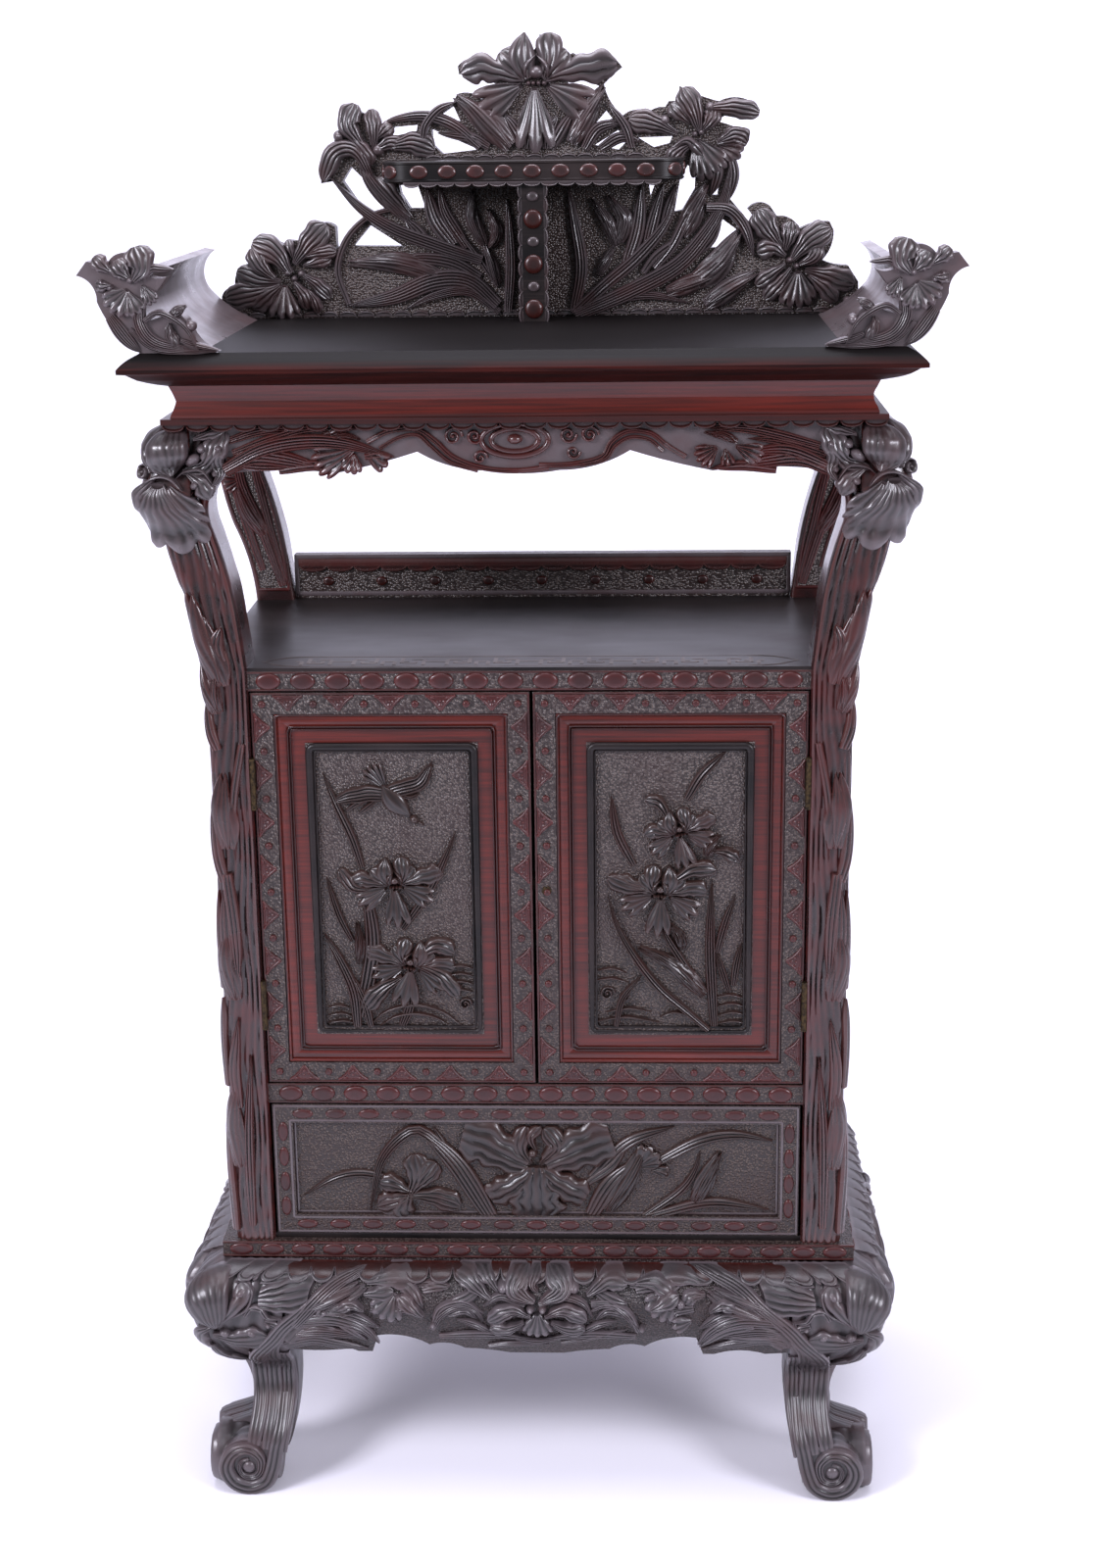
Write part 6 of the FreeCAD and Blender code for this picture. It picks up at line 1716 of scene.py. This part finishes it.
def makeDrawerFrame():
    low, high = boxOf("drawer_front")
    border, face = drawerFrame["border"], low[1]
    inset = border / 2
    over, up = border * 0.7, border * 0.8
    runs = [spreadRun(drawerFrame["ovals"], 0, low[0] + over, high[0] - over, (0, face, z))
            for z in (low[2] + inset, high[2] - inset)]
    runs += [spreadRun(drawerFrame["sideOvals"], 2, low[2] + up, high[2] - up, (x, face, 0), 90)
             for x in (low[0] + inset, high[0] - inset)]
    makeRow("drawerOvals", "drawerOval", runs, "redCarved", "drawer")
    lines = []
    for inset, back in drawerFrame["lines"]:
        ends = (low[2] + inset, high[2] - inset)
        shifted = low + [0, back, 0]
        lines += levelLines(shifted, high, inset, ends) + uprightLines(shifted, high, inset, ends)
    lipLines("drawerLips", lines, "carved", "drawer", width=3.0)


# The key pattern let into the deck, one unit in shares of half a step and in millimetres, inside a pointed border
deckFret = {
    "ends": (-330.0, 331.0), "front": 6, "deep": 52.0, "point": (62, 30, 4), "units": 10, "unitEnds": 42, "half": 17.0,
    "border": 2.6, "width": 5.0, "rise": 0.7, "sink": 0.3,
    "lines": [[(-1, 0), (-0.5, 0)], [(-0.5, -1), (-0.5, 0.5)], [(-0.5, 0.55), (0.05, 0.55)],
              [(-0.15, -0.5), (-0.15, 0.1)], [(-0.15, -0.5), (0.45, -0.5)], [(0.45, -0.5), (0.45, 1)],
              [(0.15, 0), (0.45, 0)], [(0.75, -1), (0.75, 0)], [(0.75, 0), (1, 0)]],
}


def makeDeckFret():
    plan, (low, high) = deckFret, boxOf("deck_board")
    top, front = high[2], low[1] + plan["front"]
    back, mid = front + plan["deep"], front + plan["deep"] / 2
    (x0, x1), (far, near, bend) = plan["ends"], plan["point"]
    def deck(across, along, height):
        return np.stack([across, along, top + height], -1)
    carving = Carving(deck, sink=plan["sink"])
    for side, end in ((-1, x0), (1, x1)):
        for along, hand in ((front, 1), (back, -1)):
            line = [(end - side * far, along), (end - side * near, along + hand * bend), (end, mid)]
            carving.strip(line, plan["border"], "band", 1, plan["rise"], 0, rows=8)
    for along in (front, back):
        carving.strip([(x0 + far, along), (x1 - far, along)], plan["border"], "band", 1, plan["rise"], 0, rows=2)
    step = (x1 - x0 - 2 * plan["unitEnds"]) / plan["units"]
    for number in range(plan["units"]):
        hand = 1 if number % 2 else -1
        middle = x0 + plan["unitEnds"] + (number + 0.5) * step
        for line in plan["lines"]:
            points = [(middle + x * hand * step / 2, mid + y * plan["half"]) for x, y in line]
            carving.strip(points, plan["width"], "band", 1, plan["rise"], 0, rows=2)
    carving.build("deckFret", "fretWood")


gallery = {"bosses": 9, "bossEnds": 10, "bossDown": 37, "swagEnds": 8, "swagDown": 14, "bandDown": 11, "bandEnds": 6,
           "bandWidth": 11, "bandRise": 3.0, "borderIn": 3, "borderUp": 6, "borderWidth": 6, "borderRise": 2.4}


# The gallery is punched, with a raised border, a cloud-edged band along its top and bosses under it
def makeGallery():
    plan, (low, high) = gallery, boxOf("deck_gallery")
    for name, unit, count, ends, down, material in (
            ("galleryBosses", "galleryBoss", plan["bosses"], plan["bossEnds"], plan["bossDown"], "darkRed"),
            ("gallerySwags", "gallerySwag", 2 * plan["bosses"], plan["swagEnds"], plan["swagDown"], "postWood")):
        run = spreadRun(count, 0, low[0] + ends, high[0] - ends, (0, low[1], high[2] - down))
        makeRow(name, unit, [run], material)
    band = levelLines(low, high, plan["bandEnds"], [high[2] - plan["bandDown"]])
    lipLines("galleryBand", band, "postWood", width=plan["bandWidth"], rise=plan["bandRise"])
    inset, ends = plan["borderIn"], (high[2] - plan["borderIn"], boxOf("deck_board")[1][2] + plan["borderUp"])
    lipLines("galleryBorder", levelLines(low, high, inset, ends) + uprightLines(low, high, inset, ends[::-1]),
             "carved", width=plan["borderWidth"], rise=plan["borderRise"])


# The crest's shelf has round front corners and fine lips. Its profile is (inset, height over the bottom), then
# (inset, depth under the top).
shelf = {
    "radius": 38.0, "ovals": 9, "ovalEnds": 6, "scallops": 15, "scallopEnds": 8, "scallopIn": 4, "scallopLap": 1,
    "sideOvals": 2, "proud": 1.4,
    "below": ((3.0, 0), (0.6, 2.0), (0.6, 3.4), (2.0, 4.4)), "above": ((2.0, 4.4), (0.6, 3.4), (0.6, 1.0), (2.2, 0)),
}


def makeRoundedShelf(low, high):
    radius, rings = shelf["radius"], []
    for inset, z in ([(inset, low[2] + up) for inset, up in shelf["below"]]
                     + [(inset, high[2] - down) for inset, down in shelf["above"]]):
        ring = [(high[0] - inset, high[1]), (low[0] + inset, high[1])]
        for x, start in ((low[0] + radius, 180), (high[0] - radius, 270)):
            turn = np.radians(start + np.linspace(0, 90, 13))
            ring += list(zip(x + (radius - inset) * np.cos(turn), low[1] + radius + (radius - inset) * np.sin(turn)))
        rings.append([(x, y, z) for x, y in ring])
    points, faces = skin(np.array(rings))
    piece = addPiece("crestShelfRounded", points * millimetre, faces, "black", sharp=30)
    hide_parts("crest_shelf")


def makeShelf():
    low, high = boxOf("crest_shelf")
    makeRoundedShelf(low, high)
    radius, proud, count = shelf["radius"], shelf["proud"], shelf["scallops"]
    middle = (low[2] + high[2]) / 2
    bend = radius * (1 - math.sqrt(0.5)) + proud
    still = (0, 0, 0)
    ends = radius - shelf["ovalEnds"]
    runs = [spreadRun(shelf["ovals"], 0, low[0] + ends, high[0] - ends, (0, low[1] + proud, middle)),
            (1, (low[0] + bend, low[1] + bend, middle), still, 0, -45),
            (1, (high[0] - bend, low[1] + bend, middle), still, 0, 45)]
    for x, turn in ((low[0] + proud, -90), (high[0] - proud, 90)):
        runs.append(spreadRun(shelf["sideOvals"], 1, low[1] + radius, high[1], (x, 0, middle), 0, turn))
    makeRow("shelfOvals", "shelfOval", runs, "postWood")
    ends, inset, lap = radius - shelf["scallopEnds"], shelf["scallopIn"], shelf["scallopLap"]
    x0, x1 = low[0] + ends, high[0] - ends
    step = (x1 - x0) / count
    makeRow("shelfScallops", "smallScallop", [
        spreadRun(count, 0, x0, x1, (0, low[1] + inset, low[2] + lap)),
        spreadRun(count - 2, 0, x0 + step, x1 - step, (0, high[1] - inset, high[2] - lap), 180)], "carved")


# Ovals and studs take turns up the bracket, between scalloped edges
bracket = {"pairs": 3, "ends": 4, "edges": 9, "edgeIn": 1, "edgeBack": 3}


def makeBracket():
    low, high = boxOf("crest_bracket")
    pairs, edges = bracket["pairs"], bracket["edges"]
    up = (high[2] - low[2] - 2 * bracket["ends"]) / pairs / 2
    start = low[2] + bracket["ends"] + up / 2
    for name, unit, height, material in (("bracketOvals", "bracketOval", start, "darkRed"),
                                         ("bracketStuds", "galleryBoss", start + up, "carved")):
        makeRow(name, unit, [(pairs, (0, low[1], height), (0, 0, 2 * up), 0, 0)], material)
    makeRow("bracketScallops", "smallScallop",
            [spreadRun(edges, 2, low[2], high[2], (x, low[1] + bracket["edgeBack"], 0), tilt)
             for x, tilt in ((low[0] + bracket["edgeIn"], 90), (high[0] - bracket["edgeIn"], -90))], "carved")


# Buds and leaf tips laid over the posts, read in the photograph's own pixels on the left side
postLeaves = {
    "corner": (0, 0), "zoom": 1.0, "depth": -203.0,
    "leaves": [
        ([(226, 676), (221, 657), (225, 640)], 14, 3, 3), ([(221, 766), (213, 745), (209, 716)], 13, 3, 1),
        ([(229, 900), (221, 868), (217, 815)], 13, 3, 2), ([(236, 1000), (231, 950), (229, 905)], 12, 3, 2),
        ([(226, 1010), (224, 960), (222, 910)], 10, 3, 1), ([(232, 892), (240, 950), (244, 1006)], 13, 3, 3),
        ([(230, 1110), (226, 1065), (226, 1020)], 12, 3, 2), ([(244, 1130), (240, 1090), (243, 1040)], 12, 3, 2),
        ([(258, 1250), (254, 1160), (256, 1078)], 11, 3, 2), ([(240, 1256), (232, 1180), (236, 1120)], 14, 3, 3),
        ([(246, 760), (238, 820), (240, 880)], 9, 2, 1), ([(228, 1240), (225, 1190), (228, 1140)], 10, 2, 1)],
    "buds": [
        ([(224, 700), (205, 650), (196, 606)], 36, 0.7), ([(222, 728), (211, 700), (204, 676)], 20, 0.5),
        ([(222, 728), (219, 704), (221, 684)], 11, 0.4), ([(233, 866), (229, 830), (230, 790)], 28, 0.9),
        ([(240, 1020), (232, 985), (232, 950)], 24, 0.8), ([(246, 1190), (240, 1150), (242, 1110)], 24, 0.8)],
}
kneePlan = {
    "corner": (170, 1265), "zoom": 5.0,
    "petals": [
        ([(240, 480), (380, 505), (525, 495)], 140, 4), ([(240, 530), (330, 590), (430, 600)], 90, 4),
        ([(280, 415), (345, 345), (388, 280), (378, 212)], 84, 2), ([(235, 430), (180, 470), (215, 560)], 80, 3)],
    "shells": [([(470, 300), (600, 282), (726, 262)], 196, 5)],
    "bulbs": [([(255, 432), (212, 300), (222, 158)], 196, 8)],
    "leaves": [
        ([(1000, 165), (900, 205), (800, 275), (690, 365), (600, 440), (520, 530), (440, 640), (410, 705)], 66, 4, 4),
        ([(590, 400), (585, 480), (540, 560), (550, 680), (600, 800)], 54, 4, 1),
        ([(400, 385), (430, 345), (480, 350), (520, 395), (580, 400)], 30, 2, 3),
        ([(300, 405), (405, 350), (438, 270), (408, 212), (350, 212)], 18, 1, 3),
        ([(490, 196), (600, 182), (705, 172)], 56, 3, 1), ([(620, 520), (720, 440), (860, 420)], 110, 4, 0),
        ([(500, 420), (560, 440), (560, 500)], 50, 3, 1)],
    "beads": [
        ((382, 262), 56), ((432, 182), 28), ((460, 182), 26), ((300, 470), 52), ((435, 470), 50), ((520, 430), 30)],
}
# The knee's other face, not shown: petals that balance the front's, as (across, height) in millimetres
kneeSide = [
    ([(-50, 250), (-80, 262), (-104, 268)], 30, 5, 1), ([(-44, 240), (-70, 232), (-96, 222)], 22, 4, 0),
    ([(-60, 262), (-84, 286), (-108, 306)], 24, 4, 2), ([(-50, 262), (-62, 292), (-56, 328)], 38, 6, 3),
    ([(-70, 300), (-92, 318), (-112, 324)], 18, 3, 1)
]
postRises = {"leaf": 3.6, "bud": 6.5, "petal": 7.0, "bead": 11.0}
kneeScallops = {"first": 26, "count": 3}
kneeCut = {"rise": 8.0, "depth": 1.3, "ruffle": 0.06}


def carvePostsAndKnees(around):
    for side in ("left", "right"):
        for kind, plan, corner, material in (("post", postLeaves, tubes["corner"], "postWood"),
                                             ("leg", kneePlan, tubes["legCorner"], "legWood")):
            reach, heights = around[kind + "_front_" + side]
            carving = Carving(aroundPost(reach, heights, corner), mirrored=side == "right", sink=4)
            addTraced(carving, AroundTracing(plan, reach, heights, corner), plan, postRises)
            if kind == "leg":
                wide, drop, rise = (standScallop[key] for key in ("wide", "drop", "rise"))
                for number in range(kneeScallops["count"]):
                    carving.scallop((kneeScallops["first"] + number * wide, heights[-1]), wide, drop, rise)
                for points, width, reeds, lift in kneeSide:
                    carving.strip(points, width, "petal", reeds, lift=lift, **kneeCut)
            carving.build(kind + "Leaves" + side.title(), material)
        carveBackPost(side, *around["post_back_" + side])
    print("posts and knees carved")


# The back posts show flat, punched faces in the open, each with a red iris stem inside a fine border. Places are
# (share of the height, millimetres aside).
backPostPlan = {
    "low": 1148.0, "high": 1424.0, "border": 5.0, "borderWidth": 4.2, "ground": 0.7,
    "leaves": [
        ([(0.02, 14), (0.3, 6), (0.6, -2), (0.98, -6)], 15.0, 4, 4.0, 1.2, 34),
        ([(0.05, 18), (0.4, 18), (0.7, 20), (0.96, 22)], 11, 3, 3.0, 1.0, 30),
        ([(0.1, -10), (0.35, -14), (0.62, -18)], 12, 3, 3.0, 1.0, 24)],
    "bud": ([(0.28, 6), (0.4, -6), (0.54, -10)], 24, 5.0, 1.0, 0.6),
    "petals": [((0.62, 0), 120, 46), ((0.66, 4), 60, 36), ((0.56, -2), 200, 26), ((0.82, -2), 100, 40)],
}


def carveBackPost(side, reach, heights):
    plan, surface = backPostPlan, frontAt(boxOf("post_back_" + side)[0][1])
    levels = np.linspace(plan["low"], plan["high"], 24)
    left, right = (np.interp(levels, heights, reach[:, column]) for column in (0, 1))
    middle, half = (left + right) / 2, (right - left) / 2 - plan["border"]
    s = np.linspace(-1, 1, 9)
    ground = Carving(surface, sink=1.0, mirrored=side == "right")
    across = middle[:, None] + half[:, None] * s
    ground.addSheet(np.stack([across, levels[:, None] + 0 * s, plan["ground"] + 0 * across], -1))
    ground.build("backPostGround" + side.title(), "stipple")
    carving = Carving(surface, sink=1.0, mirrored=side == "right")
    border = [(np.stack([middle + edge * half, levels], -1), 40) for edge in (-1, 1)]
    border.append(([(middle[0] - half[0], levels[0]), (middle[0] + half[0], levels[0])], 8))
    for line, count in border:
        carving.strip(line, plan["borderWidth"], "band", 1, 2.4, 0.2, rows=count)
    def at(share, aside):
        across = np.interp(share, np.linspace(0, 1, len(middle)), middle) + aside
        return across, plan["low"] + share * (plan["high"] - plan["low"])
    for line, width, reeds, rise, depth, count in plan["leaves"]:
        carving.strip([at(*place) for place in line], width, "blade", reeds, rise, depth, rows=count)
    line, width, rise, lift, twist = plan["bud"]
    carving.bud([at(*place) for place in line], width, rise, lift, twist)
    for place, turn, reachOut in plan["petals"]:
        carving.fan(at(*place), turn, 76, reachOut, 4, 5.0, 1.5, 1.0, lobes=4, ruffle=0.07)
    carving.build("backPostIris" + side.title(), "redCarved")


makeStudio()
paintFrame()
around = makeLegsAndPosts()
carvePostsAndKnees(around)
makeCrest()
makeUpperApron()
makeStandApron()
makeFlangeEnds()
makeDoorPanels()
makeDrawerPanel()
makeUnits()
makeBands()
clearUnits()
